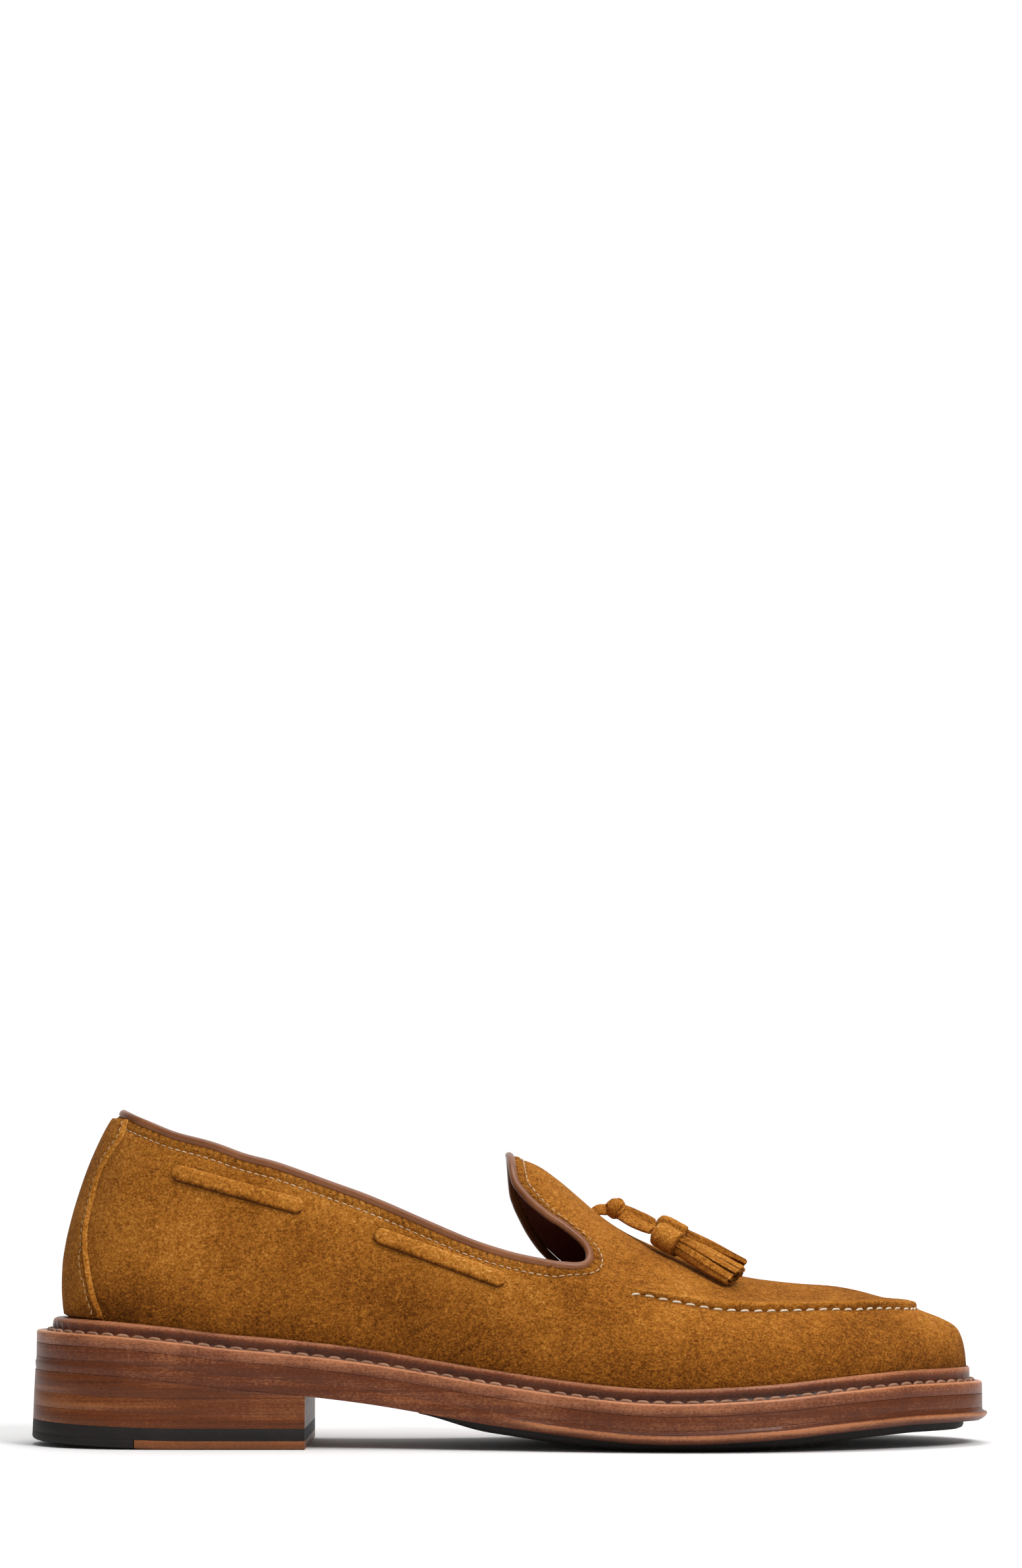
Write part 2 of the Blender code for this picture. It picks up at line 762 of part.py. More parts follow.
def plate(name, places, rows, finish):
    """A layer that follows the outline between the given places along the shoe.

    rows run from the bottom of its side to the top, each (inset, height): a function of the angle round
    the outline and a function of s. Every place has a point on the outer and on the inner side in each
    row, so the faces run straight across.
    """
    turns = turn_of(np.array(places))
    points = []
    for inset, height in rows:
        for side_turns in (turns, 2 * math.pi - turns):
            flat = outline(side_turns, inset(side_turns))
            points.append(np.column_stack([flat, height(flat[:, 0])]))
    points = np.array(points)
    count, levels = len(places), len(rows)

    def number(level, side, i):
        return (2 * level + side) * count + i

    faces = []
    for i in range(count - 1):
        for level in range(levels - 1):
            for side in (0, 1):
                faces.append(
                    (number(level, side, i), number(level, side, i + 1))
                    + (number(level + 1, side, i + 1), number(level + 1, side, i))
                )
        for level in (0, levels - 1):
            faces.append(
                (number(level, 0, i), number(level, 0, i + 1))
                + (number(level, 1, i + 1), number(level, 1, i))
            )
    for i in (0, count - 1):
        ring = [number(level, 0, i) for level in range(levels)]
        ring += [number(level, 1, i) for level in reversed(range(levels))]
        if np.linalg.norm(points.reshape(-1, 3)[ring[0]] - points.reshape(-1, 3)[ring[-1]]) > 1e-6:
            faces.append(tuple(ring))
    return new_object(name, mesh_of(name, points.reshape(-1, 3), faces), finish)


def places_between(start, end, step):
    """Places along the sole from start to end, closer together at its two round ends."""
    low, high = turn_of(start), turn_of(end)
    count = max(2, int(round(float(high - low) / step)) + 1)
    return SOLE_LENGTH / 2 * (1 - np.cos(np.linspace(low, high, count)))


def forepart(turn):
    """0 on heel and waist, 1 where the edge of the sole has its lip."""
    return ease((place_of(turn) - LIP_START) / LIP_FADE)


def edge_inset(turn):
    """Inset of the welt and the midsole from the outline: less at the heel, full at the forepart."""
    return HEEL_FLARE + (EDGE_INSET - HEEL_FLARE) * forepart(turn)


def lip_inset(turn):
    return edge_inset(turn) * (1 - forepart(turn)) * 0.7


def shifted(height, by):
    return lambda s: height(s) + by


def inset_by(inset, by):
    return lambda turn: inset(turn) + by


def even(amount):
    """The same amount all round."""
    return lambda turn: amount + 0 * turn


WHOLE_SOLE = places_between(0.0, SOLE_LENGTH, math.radians(5.0))


def build_outsole(finish):
    """Leather outsole with the lip that runs round its lower edge at the forepart."""
    bevel = shifted(outsole_bottom, LIP_HEIGHT)
    rows = (
        (lambda turn: lip_inset(turn) + LIP_BEVEL * forepart(turn), outsole_bottom),
        (lip_inset, bevel),
        (inset_by(edge_inset, 0.1), shifted(outsole_bottom, LIP_HEIGHT + 0.9)),
        (edge_inset, shifted(outsole_top, -GAP)),
    )
    return plate("outsole", WHOLE_SOLE, rows, finish)


def build_midsole(finish):
    rows = ((edge_inset, outsole_top), (edge_inset, shifted(midsole_top, -GAP)))
    return plate("midsole", WHOLE_SOLE, rows, finish)


def build_forepart_rubber(finish):
    """Black rubber under the forepart, thinned to a feather at the waist, flat under the ball."""

    def feather(s):
        return ease((np.asarray(s, float) - RUBBER_START) / RUBBER_FEATHER)

    def bottom(s):
        lifted = outsole_bottom(s) - RUBBER_THICKNESS - BALL_FLAT_DEPTH
        thin = outsole_bottom(s) - GAP - RUBBER_THIN_EDGE
        return np.maximum(thin + (lifted - thin) * feather(s), 0.0)

    places = places_between(RUBBER_START, SOLE_LENGTH, math.radians(5.5))
    rows = (
        (even(RUBBER_INSET), bottom),
        (even(RUBBER_INSET), shifted(outsole_bottom, -GAP)),
    )
    return plate("forepart_rubber", places, rows, finish)


def heel_back_rise(s):
    """The heel's layers turn up a little behind the flat part that stands on the floor."""
    flat_start = HEEL_LENGTH - HEEL_FLAT_LENGTH
    share = np.clip((flat_start - np.asarray(s, float)) / flat_start, 0, 1)
    return HEEL_BACK_RISE * share**1.4


def heel_inset(height):
    """The heel widens slightly from the sole down to the floor."""
    top = float(outsole_bottom(0.0))
    return even(HEEL_FLARE * min(height / top, 1.0) * 0.7)


def lift_thickness():
    """What the named layers leave for each leather lift at the front of the heel."""
    breast = float(outsole_bottom(HEEL_LENGTH))
    return (breast - WEDGE_FRONT_EDGE - TOP_PIECE_THICKNESS - RUBBER_LIFT_THICKNESS) / LIFT_COUNT


def build_heel(leather, top_leather, rubber):
    """Top piece in two parts, rubber lift, leather lifts and the wedge that meets the sole."""
    heel_places = places_between(0.0, HEEL_LENGTH, math.radians(5.0))
    rear_places = places_between(0.0, TOP_PIECE_SEAM - GAP / 2, math.radians(5.0))
    front_places = places_between(TOP_PIECE_SEAM + GAP / 2, HEEL_LENGTH, math.radians(5.0))

    def level(height):
        return lambda s: height + heel_back_rise(s)

    def layer(name, places, low, high, finish, rounding=0.0):
        rows = [
            (heel_inset(low), level(low + rounding)),
            (heel_inset(high), level(high - GAP)),
        ]
        if rounding:
            rows.insert(0, (inset_by(heel_inset(low), rounding), level(low)))
        return plate(name, places, rows, finish)

    layer("top_piece_rubber", rear_places, 0.0, TOP_PIECE_THICKNESS, rubber, HEEL_ROUND)
    layer("top_piece_leather", front_places, 0.0, TOP_PIECE_THICKNESS, top_leather, HEEL_ROUND)
    height = TOP_PIECE_THICKNESS + RUBBER_LIFT_THICKNESS
    layer("heel_rubber_lift", heel_places, TOP_PIECE_THICKNESS, height, rubber)
    for number in range(LIFT_COUNT):
        layer(f"heel_lift_{number + 1}", heel_places, height, height + lift_thickness(), leather)
        height += lift_thickness()
    rows = (
        (heel_inset(height), level(height)),
        (heel_inset(float(outsole_bottom(0.0))), shifted(outsole_bottom, -GAP)),
    )
    plate("heel_wedge", heel_places, rows, leather)


def build_insole(finish):
    """Insole inside the foot of the upper, with the upper's own stations."""
    rows = (
        (inset_by(welt_room, WALL + INSOLE_GAP), midsole_top),
        (inset_by(welt_room, WALL + INSOLE_GAP), shifted(midsole_top, INSOLE_THICKNESS)),
    )
    return plate("insole", np.array(LINE_FEET) / 100 * SOLE_LENGTH, rows, finish)


def ring_mesh(name, sections, finish):
    """A closed band: sections[i][j] is point j of the closed section at station i, round the shoe."""
    sections = np.array(sections)
    stations, points = sections.shape[:2]
    faces = []
    for i in range(stations):
        ahead = (i + 1) % stations
        for j in range(points):
            k = (j + 1) % points
            faces.append((i * points + j, i * points + k, ahead * points + k, ahead * points + j))
    return new_object(name, mesh_of(name, sections.reshape(-1, 3), faces), finish)


def around_stations(step):
    """Angles once round the sole, closer together at heel and toe."""
    return np.arange(0.0, 2 * math.pi - 1e-9, step)


def build_welt(finish):
    """Welt with its flat stitched top and the raised rim that stands against the upper."""
    sections = []
    for turn in around_stations(math.radians(5.0)):
        share = 50 * (1 - math.cos(turn))
        rim = float(smooth(column(WELT_PLAN, 0), column(WELT_PLAN, 3), share)) / 100 * RIM_WIDTH
        edge = float(edge_inset(turn))
        turn = np.array(turn)
        profile = (
            (outline(turn, edge), -WELT_THICKNESS),
            (outline(turn, edge), -WELT_ROUND),
            (outline(turn, edge + WELT_ROUND), 0.0),
            (upper_foot(turn, GAP + rim * 1.15), 0.0),
            (upper_foot(turn, GAP + rim * 0.85), 0.35 * RIM_HEIGHT),
            (upper_foot(turn, GAP + rim), 0.8 * RIM_HEIGHT),
            (upper_foot(turn, GAP + rim * 0.35), RIM_HEIGHT),
            (upper_foot(turn, GAP), 0.9 * RIM_HEIGHT),
            (upper_foot(turn, GAP), -WELT_THICKNESS),
        )
        sections.append([(s, y, float(welt_top(s)) + up) for (s, y), up in profile])
    return ring_mesh("welt", sections, finish)


def upper_points(side, raise_by=0.0):
    """Grid of the upper's outer face on one side, from the heel's back to the toe."""
    lines = []
    for share in LINE_FEET:
        line, raised = upper_line(share, side)
        points = last_point(line[:, 0], line[:, 1], side)
        normals = last_normal(line[:, 0], line[:, 1], side)
        points = points + normals * (raised + raise_by)[:, None]
        if share in (0.0, 100.0):
            points[:, 1] = ridge_side(line[:, 0])
        foot = points[0].copy()
        foot[2] = float(midsole_top(foot[0]))
        lines.append(np.vstack([foot, points]))
    return np.array(lines)


def upper_patch(name, loop, stations, finish, rows=slice(None)):
    """Part of the upper's outer face as an open surface: the given stations round the shoe."""
    points = loop[np.array(stations) % len(loop)][:, rows]
    height = points.shape[1]
    faces = []
    for i in range(len(stations) - 1):
        for j in range(height - 1):
            at = i * height + j
            faces.append((at, at + height, at + height + 1, at + 1))
    return new_object(name, mesh_of(name, points.reshape(-1, 3), faces, closed=False), finish)


def thicken(thing, low, high):
    """Turns an open surface into a shell between two distances outside it."""
    wall = thing.modifiers.new("wall", "SOLIDIFY")
    wall.thickness = (high - low) * MM
    wall.offset = (high + low) / (high - low)
    wall.use_even_offset = True
    wall.use_quality_normals = True
    return thing


def build_upper(finish):
    """Hollow upper: the outer face as an open surface, thickened inwards to the wall."""
    outer, inner = upper_points(-1), upper_points(1)
    loop = np.concatenate([outer, inner[-2:0:-1]])
    upper = upper_patch("upper", loop, range(len(loop) + 1), finish)
    thicken(upper, -WALL, 0.0)
    return loop


def side_cutter(name, outline_points, low, high):
    """Prism that stands across the shoe: an outline seen from the side, between two values of y."""
    points = [(s, y, z) for y in (low, high) for s, z in outline_points]
    count = len(outline_points)
    faces = [tuple(range(count)), tuple(range(count, 2 * count))]
    for i in range(count):
        ahead = (i + 1) % count
        faces.append((i, ahead, count + ahead, count + i))
    cutter = bpy.data.objects.new(name, mesh_of(name, points, faces))
    cutter.hide_render = True
    cutter.display_type = "WIRE"
    CUTTERS.objects.link(cutter)
    return cutter


def keep_inside(thing, cutter):
    cut = thing.modifiers.new("cut", "BOOLEAN")
    cut.operation = "INTERSECT"
    cut.solver = "EXACT"
    cut.object = cutter


def build_back_stay(loop, finish):
    """Strip round the back of the heel, from the welt's rim to the binding."""
    reach = int(np.argmax(np.array(LINE_FEET) > STAY_REACH))
    lowered = loop.copy()
    down = lowered[:, -2] - lowered[:, -1]
    lowered[:, -1] += down / np.linalg.norm(down, axis=1, keepdims=True) * GAP
    stay = upper_patch("back_stay", lowered, range(-reach, reach + 1), finish, slice(1, None))
    thicken(stay, GAP, GAP + STAY_THICKNESS)
    edge = curve_through(STAY_EDGE, 3) / 100
    s = edge[:, 0] * SOLE_LENGTH
    front = list(zip(s, welt_top(s) + edge[:, 1] * UPPER_HEIGHT))
    behind = -HEEL_LEAN
    floor = [(at, float(welt_top(at)) + RIM_HEIGHT + GAP) for at in (behind, float(s[0]))]
    outline_points = floor + [point for point in front if point[1] > floor[1][1]] + [(behind, front[-1][1])]
    keep_inside(stay, side_cutter("back_stay_cutter", outline_points, -SOLE_WIDTH, SOLE_WIDTH))


def rounded_bar(start, end, width):
    """Outline of a bar with half round ends between two points."""
    start, end = np.array(start), np.array(end)
    heading = math.atan2(*(end - start)[::-1])
    angles = np.linspace(-math.pi / 2, math.pi / 2, 7)
    points = []
    for middle, facing in ((end, heading), (start, heading + math.pi)):
        for angle in angles + facing:
            points.append(tuple(middle + width / 2 * np.array([math.cos(angle), math.sin(angle)])))
    return points


def build_side_laces(loop, finish):
    """The four places where the lace shows on the quarters, cut from a shell over the upper."""
    shares = np.array(LINE_FEET)
    for name, *numbers in SIDE_LACES:
        start_s, start_up, end_s, end_up = numbers
        ends = [
            (place / 100 * SOLE_LENGTH, float(above_welt(place / 100 * SOLE_LENGTH, up)))
            for place, up in ((start_s, start_up), (end_s, end_up))
        ]
        first = int(np.argmax(shares > start_s - LACE_MARGIN)) - 1
        last = int(np.argmax(shares > end_s + LACE_MARGIN))
        bar = rounded_bar(*ends, SIDE_LACE_WIDTH)
        for side, label in ((-1, "outer"), (1, "inner")):
            title = f"side_lace_{label}_{name}"
            stations = range(first, last + 1) if side < 0 else range(-last, -first + 1)
            lace = upper_patch(title, loop, stations, finish, slice(1, None))
            thicken(lace, GAP, GAP + SIDE_LACE_THICKNESS)
            low, high = sorted((0.0, side * SOLE_WIDTH))
            keep_inside(lace, side_cutter(title + "_cutter", bar, low, high))


def build_binding(loop, finish):
    """Round leather binding that sits on the edge of the opening, all the way round."""
    edge, below = loop[:, -1], loop[:, -2]
    along = np.roll(edge, -1, axis=0) - np.roll(edge, 1, axis=0)
    along /= np.linalg.norm(along, axis=1, keepdims=True)
    outside = np.cross(along, edge - below)
    outside /= np.linalg.norm(outside, axis=1, keepdims=True)
    up = np.cross(outside, along)
    centre = edge + up * (BINDING_DIAMETER / 2 + GAP) - outside * BINDING_SET_IN
    angles = np.linspace(0, 2 * math.pi, BINDING_SIDES, endpoint=False)
    round_section = outside[:, None] * np.sin(angles)[:, None] - up[:, None] * np.cos(angles)[:, None]
    return ring_mesh("collar_binding", centre[:, None] + round_section * BINDING_DIAMETER / 2, finish)


def loft(sections):
    """Vertices and faces of a solid through closed sections, with flat ends."""
    sections = np.array(sections)
    stations, points = sections.shape[:2]
    faces = [tuple(range(points)), tuple(range((stations - 1) * points, stations * points))]
    for i in range(stations - 1):
        for j in range(points):
            k = (j + 1) % points
            faces.append((i * points + j, i * points + k, (i + 1) * points + k, (i + 1) * points + j))
    return sections.reshape(-1, 3), faces


def fused(name, solids, finish):
    """One solid out of several that run into each other."""
    parts = [new_object(f"{name}_{i}", mesh_of(name, *solid), finish) for i, solid in enumerate(solids)]
    others = bpy.data.collections.new(name + "_pieces")
    for part in parts[1:]:
        others.objects.link(part)
    join = parts[0].modifiers.new("join", "BOOLEAN")
    join.operation = "UNION"
    join.solver = "EXACT"
    join.operand_type = "COLLECTION"
    join.collection = others
    shown = parts[0].evaluated_get(bpy.context.evaluated_depsgraph_get())
    mesh = bpy.data.meshes.new_from_object(shown)
    for part in parts:
        bpy.data.objects.remove(part)
    bpy.data.collections.remove(others)
    return new_object(name, mesh, finish)


def thong(middle, width, thickness, flat):
    """Flat lace along its middle line. flat is the direction its flat face looks."""
    middle = np.array(middle, float)
    along = np.gradient(middle, axis=0)
    along /= np.linalg.norm(along, axis=1, keepdims=True)
    across = np.cross(np.array(flat, float), along)
    across /= np.linalg.norm(across, axis=1, keepdims=True)
    up = np.cross(along, across)
    corners = ((-0.5, -0.2), (-0.35, -0.5), (0.35, -0.5), (0.5, -0.2))
    corners += tuple((-a, -b) for a, b in corners)
    sections = []
    for i in range(len(middle)):
        sections.append([middle[i] + across[i] * width * a + up[i] * thickness * b for a, b in corners])
    return loft(sections)


def build_knot(finish):
    """Knot on the ridge, with the end of the lace that comes out of the vamp behind it."""
    steps = np.linspace(0, math.pi, 9)
    half = np.array([KNOT_LENGTH, KNOT_WIDTH, KNOT_HEIGHT]) / 2
    hole, middle = over_vamp((LACE_HOLE, KNOT_PLACE))
    sections = []
    for tilt in steps[1:-1]:
        turns = np.linspace(0, 2 * math.pi, 14, endpoint=False)
        ring = np.column_stack(
            [0 * turns - math.cos(tilt), math.sin(tilt) * np.cos(turns), math.sin(tilt) * np.sin(turns)]
        )
        sections.append(middle + ring * half)
    tail = thong([hole, (hole + middle) / 2, middle], THONG_WIDTH, THONG_THICKNESS, LACE_FACING)
    fused("tassel_knot", [loft(sections), tail], finish)


def build_tassel(name, start, end, turned, finish):
    """Tassel: a wrapped cap with strips of suede fused to it, splayed and flattened towards their ends."""
    start, end = over_vamp((start, end))
    axis = (end - start) / np.linalg.norm(end - start)
    across = np.cross((0, turned, 1), axis)
    across /= np.linalg.norm(across)
    up = np.cross(axis, across)

    def place(points):
        points = np.array(points, float)
        flat = 1 - (1 - FRINGE_FLATNESS) * ease((points[..., 0] - CAP_LENGTH) / FRINGE_LENGTH)
        points[..., 2] *= flat
        return start + points[..., :1] * axis + points[..., 1:2] * across + points[..., 2:] * up

    def ring(along, radius, count=16):
        turns = np.linspace(0, 2 * math.pi, count, endpoint=False)
        return np.column_stack([0 * turns + along, radius * np.cos(turns), radius * np.sin(turns)])

    cap = [
        ring(CAP_LENGTH * share, CAP_RADIUS * width)
        for share, width in ((0.0, 0.6), (0.06, 0.84), (0.2, 0.97), (0.5, 1.0), (0.85, 0.97), (1.0, 0.9))
    ]
    total = CAP_LENGTH + FRINGE_LENGTH
    core = [ring(CAP_LENGTH * 0.5, CAP_RADIUS * 0.6, 10), ring(total * 0.93, CAP_RADIUS * 0.72, 10)]
    solids = [loft(place(cap)), loft(place(core))]
    for i in range(STRIP_COUNT):
        turn = 2 * math.pi * (i + 0.5) / STRIP_COUNT
        outwards = np.array([0.0, math.cos(turn), math.sin(turn)])
        sideways = np.array([0.0, -math.sin(turn), math.cos(turn)])
        length = total - 1.2 * ((i * 5) % 4) / 3
        sunk = 0.3 * (i % 3)
        strip = []
        for along, radius in (
            (CAP_LENGTH * 0.6, 0.62),
            (CAP_LENGTH * 1.05, 0.74),
            ((CAP_LENGTH + length) / 2, 0.5 + FRINGE_SPLAY / 2 - 0.12),
            (length, FRINGE_SPLAY - 0.17),
        ):
            middle = np.array([along - sunk, 0.0, 0.0]) + outwards * (CAP_RADIUS * radius - sunk / 2)
            strip.append(
                [
                    middle + sideways * STRIP_WIDTH * a + outwards * STRIP_THICKNESS * b
                    for a, b in ((-0.5, -0.5), (0.5, -0.5), (0.5, 0.5), (-0.5, 0.5))
                ]
            )
        solids.append(loft(place(strip)))
    fused(f"tassel_{name}", solids, finish)


SHOE = None
CUTTERS = None


def main():
    global SHOE, CUTTERS
    for thing in list(bpy.data.objects):
        bpy.data.objects.remove(thing)
    SHOE = bpy.data.collections.new("tassel_loafer")
    bpy.context.scene.collection.children.link(SHOE)
    CUTTERS = bpy.data.collections.new("cutters")
    bpy.context.scene.collection.children.link(CUTTERS)
    suede = material("snuff_suede", (0.42, 0.20, 0.05), 0.95)
    sole_leather = material("sole_leather", (0.19, 0.06, 0.025), 0.45)
    top_leather = material("top_piece_leather", (0.38, 0.14, 0.05), 0.5)
    welt_leather = material("welt_leather", (0.24, 0.09, 0.05), 0.45)
    heel_leather = material("heel_leather", (0.27, 0.10, 0.04), 0.45)
    rubber = material("black_rubber", (0.02, 0.02, 0.02), 0.7)
    lining = material("lining_leather", (0.20, 0.05, 0.03), 0.6)
    binding = material("binding_leather", (0.25, 0.11, 0.06), 0.4)

    build_forepart_rubber(rubber)
    build_outsole(sole_leather)
    build_midsole(sole_leather)
    build_heel(heel_leather, top_leather, rubber)
    build_welt(welt_leather)
    build_insole(lining)
    loop = build_upper(suede)
    build_binding(loop, binding)
    build_back_stay(loop, suede)
    build_side_laces(loop, suede)
    build_knot(suede)
    for name, middle in STRANDS:
        path = curve_through(over_vamp(middle), 3)
        shape = mesh_of("strand", *thong(path, THONG_WIDTH, THONG_THICKNESS, LACE_FACING))
        new_object(f"tassel_strand_{name}", shape, suede)
    for name, start, end, turned in TASSELS:
        build_tassel(name, start, end, turned, suede)


main()
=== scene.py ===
"""Looks of a tassel loafer for the right foot, on the solids of its frame.

Sizes are in millimetres. s runs from the back of the heel to the toe, y is negative on the outer side
of the foot and z is the height above the floor. The last is the one the solids were made on.
"""

import math

import bmesh
import bpy
import numpy as np
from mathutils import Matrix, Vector


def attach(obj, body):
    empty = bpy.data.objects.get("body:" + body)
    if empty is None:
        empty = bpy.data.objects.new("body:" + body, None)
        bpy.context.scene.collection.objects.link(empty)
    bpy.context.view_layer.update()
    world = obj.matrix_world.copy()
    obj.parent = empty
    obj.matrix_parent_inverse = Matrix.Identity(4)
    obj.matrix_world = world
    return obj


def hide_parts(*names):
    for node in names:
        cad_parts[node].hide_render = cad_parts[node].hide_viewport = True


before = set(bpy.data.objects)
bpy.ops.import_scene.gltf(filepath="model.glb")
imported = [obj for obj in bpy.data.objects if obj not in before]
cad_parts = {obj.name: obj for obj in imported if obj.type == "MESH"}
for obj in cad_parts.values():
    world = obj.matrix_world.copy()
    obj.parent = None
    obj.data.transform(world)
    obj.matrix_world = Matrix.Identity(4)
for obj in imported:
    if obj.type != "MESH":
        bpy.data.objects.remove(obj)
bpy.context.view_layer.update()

MM = 0.001

# Sole
SOLE_LENGTH = 302.0
SOLE_WIDTH = 108.0
WELT_THICKNESS = 3.9
MIDSOLE_THICKNESS = 4.2
OUTSOLE_THICKNESS = 4.2
EDGE_INSET = 1.5
LIP_HEIGHT = 2.7
LIP_BEVEL = 2.2
LIP_START = 142.0
LIP_FADE = 22.0
TOE_SPRING = 5.5
HEEL_RISE = 21.1

# Thin rubber under the forepart
RUBBER_THICKNESS = 2.4
RUBBER_INSET = 7.5
RUBBER_START = 121.0
RUBBER_FEATHER = 24.0
RUBBER_THIN_EDGE = 0.4
BALL_FLAT_DEPTH = 0.4

# Heel
HEEL_LENGTH = 87.6
TOP_PIECE_THICKNESS = 2.7
RUBBER_LIFT_THICKNESS = 3.7
LIFT_COUNT = 2
WEDGE_FRONT_EDGE = 0.8
HEEL_FLARE = 1.0
HEEL_BACK_RISE = 1.8
HEEL_ROUND = 1.0
HEEL_FLAT_LENGTH = 38.0
TOP_PIECE_SEAM = 35.0

# Welt and its raised rim
WELT_ROOM = 7.2
RIM_HEIGHT = 4.3
RIM_WIDTH = 1.3
WELT_ROUND = 0.7

# Upper
UPPER_HEIGHT = 68.0
HEEL_LEAN = 16.7
LEAN_REACH = 90.0
WALL = 2.0
BELLY = 1.6
SKIRT_HEIGHT = 3.3
APRON_RAISE = 1.8
APRON_ROLL = 1.5
APRON_FADE = 12.0
CROWN_BULGE = 0.16
SKIN_THICKNESS = 0.9
LINING_THICKNESS = 0.7
LINING_INSET = 1.25
EDGE_LIFT = 0.75
INSOLE_THICKNESS = 4.0

# Binding, back stay and the lace that shows on the sides
BINDING_DIAMETER = 3.0
BINDING_SET_IN = 0.5
STAY_THICKNESS = 1.1
SIDE_LACE_WIDTH = 5.4
SIDE_LACE_THICKNESS = 1.2

# Tassels
THONG_WIDTH = 4.4
THONG_THICKNESS = 1.5
CAP_LENGTH = 9.8
CAP_RADIUS = 4.1
FRINGE_LENGTH = 21.2
FRINGE_SPLAY = 1.2
FRINGE_FLATNESS = 0.54
STRIP_WIDTH = 2.6
STRIP_FLATNESS = 0.36
KNOT_LACE_WIDTH = 3.6
KNOT_LACE_FLATNESS = 0.46

GAP = 0.3
INSOLE_GAP = 0.8

# Stitches
WELT_STITCH_PITCH = 5.3
CHANNEL_DEPTH = 0.42
STITCH_FROM_RIM = 0.8
APRON_STITCH_PITCH = 4.3
COLLAR_STITCH_PITCH = 2.4
COLLAR_STITCH_DOWN = 2.7
STAY_STITCH_PITCH = 2.3
STAY_STITCH_IN = 1.7
STITCH_RINGS = 7
STITCH_SIDES = 8

# Length and radius of one stitch
WELT_STITCH = (4.7, 0.62)
APRON_STITCH = (3.1, 0.36)
COLLAR_STITCH = (1.75, 0.21)
STAY_STITCH = (1.6, 0.2)

# Distance that neighbouring pieces of the dressing keep
SEAM = 0.03

# Plan of the sole: per cent of the length, then outer and inner half widths in per cent of the width
OUTLINE = (
    (1.0, 13.1, 13.1),
    (3.0, 21.5, 21.5),
    (5.0, 26.2, 26.0),
    (8.0, 30.0, 29.4),
    (13.0, 32.3, 31.5),
    (20.0, 32.9, 31.1),
    (29.0, 32.8, 28.1),
    (37.0, 34.3, 26.1),
    (43.0, 37.2, 26.8),
    (50.0, 41.7, 31.2),
    (56.0, 45.5, 36.9),
    (63.0, 48.9, 43.7),
    (69.0, 50.0, 48.1),
    (75.0, 48.7, 50.0),
    (80.0, 45.5, 49.5),
    (85.0, 40.4, 46.7),
    (89.0, 34.5, 42.6),
    (93.0, 26.8, 36.5),
    (96.5, 17.8, 29.0),
    (98.5, 10.6, 21.7),
)
TOE_POINT = 5.6

# Lift of the sole above its lowest part: per cent of the length, then of the heel rise and the toe spring
SOLE_PROFILE = (
    (0.0, 100.0, 0.0),
    (7.7, 95.3, 0.0),
    (15.4, 85.5, 0.0),
    (20.4, 76.8, 0.0),
    (25.4, 70.6, 0.0),
    (30.4, 63.5, 0.0),
    (35.5, 54.5, 0.0),
    (41.8, 40.3, 0.0),
    (46.2, 29.9, 0.0),
    (50.6, 20.9, 0.0),
    (55.0, 12.3, 0.0),
    (59.4, 5.2, 0.0),
    (63.5, 0.9, 0.0),
    (66.5, 0.0, 0.0),
    (69.5, 0.0, 3.6),
    (73.7, 0.0, 14.5),
    (78.1, 0.0, 30.9),
    (82.7, 0.0, 56.4),
    (87.2, 0.0, 76.4),
    (92.0, 0.0, 90.9),
    (97.1, 0.0, 92.0),
    (100.0, 0.0, 84.0),
)

# Welt room and rim width around the shoe: per cent of the length, then outer and inner room and rim in
# per cent of WELT_ROOM and RIM_WIDTH
WELT_PLAN = (
    (0.0, 146.0, 146.0, 300.0),
    (3.0, 133.0, 133.0, 265.0),
    (8.0, 110.0, 110.0, 170.0),
    (20.0, 86.0, 84.0, 110.0),
    (37.0, 80.0, 74.0, 100.0),
    (50.0, 86.0, 80.0, 100.0),
    (63.0, 98.0, 94.0, 100.0),
    (80.0, 102.0, 100.0, 100.0),
    (94.0, 99.0, 98.0, 90.0),
    (100.0, 89.0, 89.0, 52.0),
)

# Ridge of the last: per cent of the sole length, then its height above the welt in per cent of UPPER_HEIGHT
RIDGE = (
    (3.1, 136.0),
    (20.0, 133.5),
    (33.0, 126.2),
    (43.0, 115.4),
    (50.4, 104.3),
    (53.0, 101.1),
    (55.0, 96.3),
    (57.0, 89.8),
    (59.0, 83.1),
    (61.0, 77.6),
    (63.0, 73.2),
    (66.0, 67.4),
    (69.0, 62.4),
    (72.0, 57.5),
    (75.0, 53.1),
    (78.0, 50.2),
    (81.0, 47.7),
    (84.0, 45.3),
    (87.0, 41.8),
    (89.5, 37.7),
    (92.0, 34.1),
    (94.0, 30.6),
    (95.5, 27.8),
    (96.9, 23.8),
    (97.6, 17.0),
)

# Cross sections of the last: per cent of the length, sideways place of the ridge in per cent of the sole
# width, fullness of the outer and of the inner side (2 is an ellipse), and belly in per cent of BELLY
SECTIONS = (
    (3.0, 0.0, 2.2, 2.2, 0.0),
    (10.0, 0.4, 2.4, 2.4, 70.0),
    (20.0, 1.2, 2.9, 3.0, 100.0),
    (33.0, 2.8, 2.8, 3.1, 90.0),
    (46.0, 4.6, 2.35, 3.0, 50.0),
    (58.0, 5.6, 2.1, 2.8, 40.0),
    (66.0, 5.4, 2.05, 2.5, 40.0),
    (76.0, 4.8, 2.1, 2.35, 40.0),
    (87.0, 4.8, 2.2, 2.3, 20.0),
    (100.0, 5.6, 2.2, 2.2, 0.0),
)

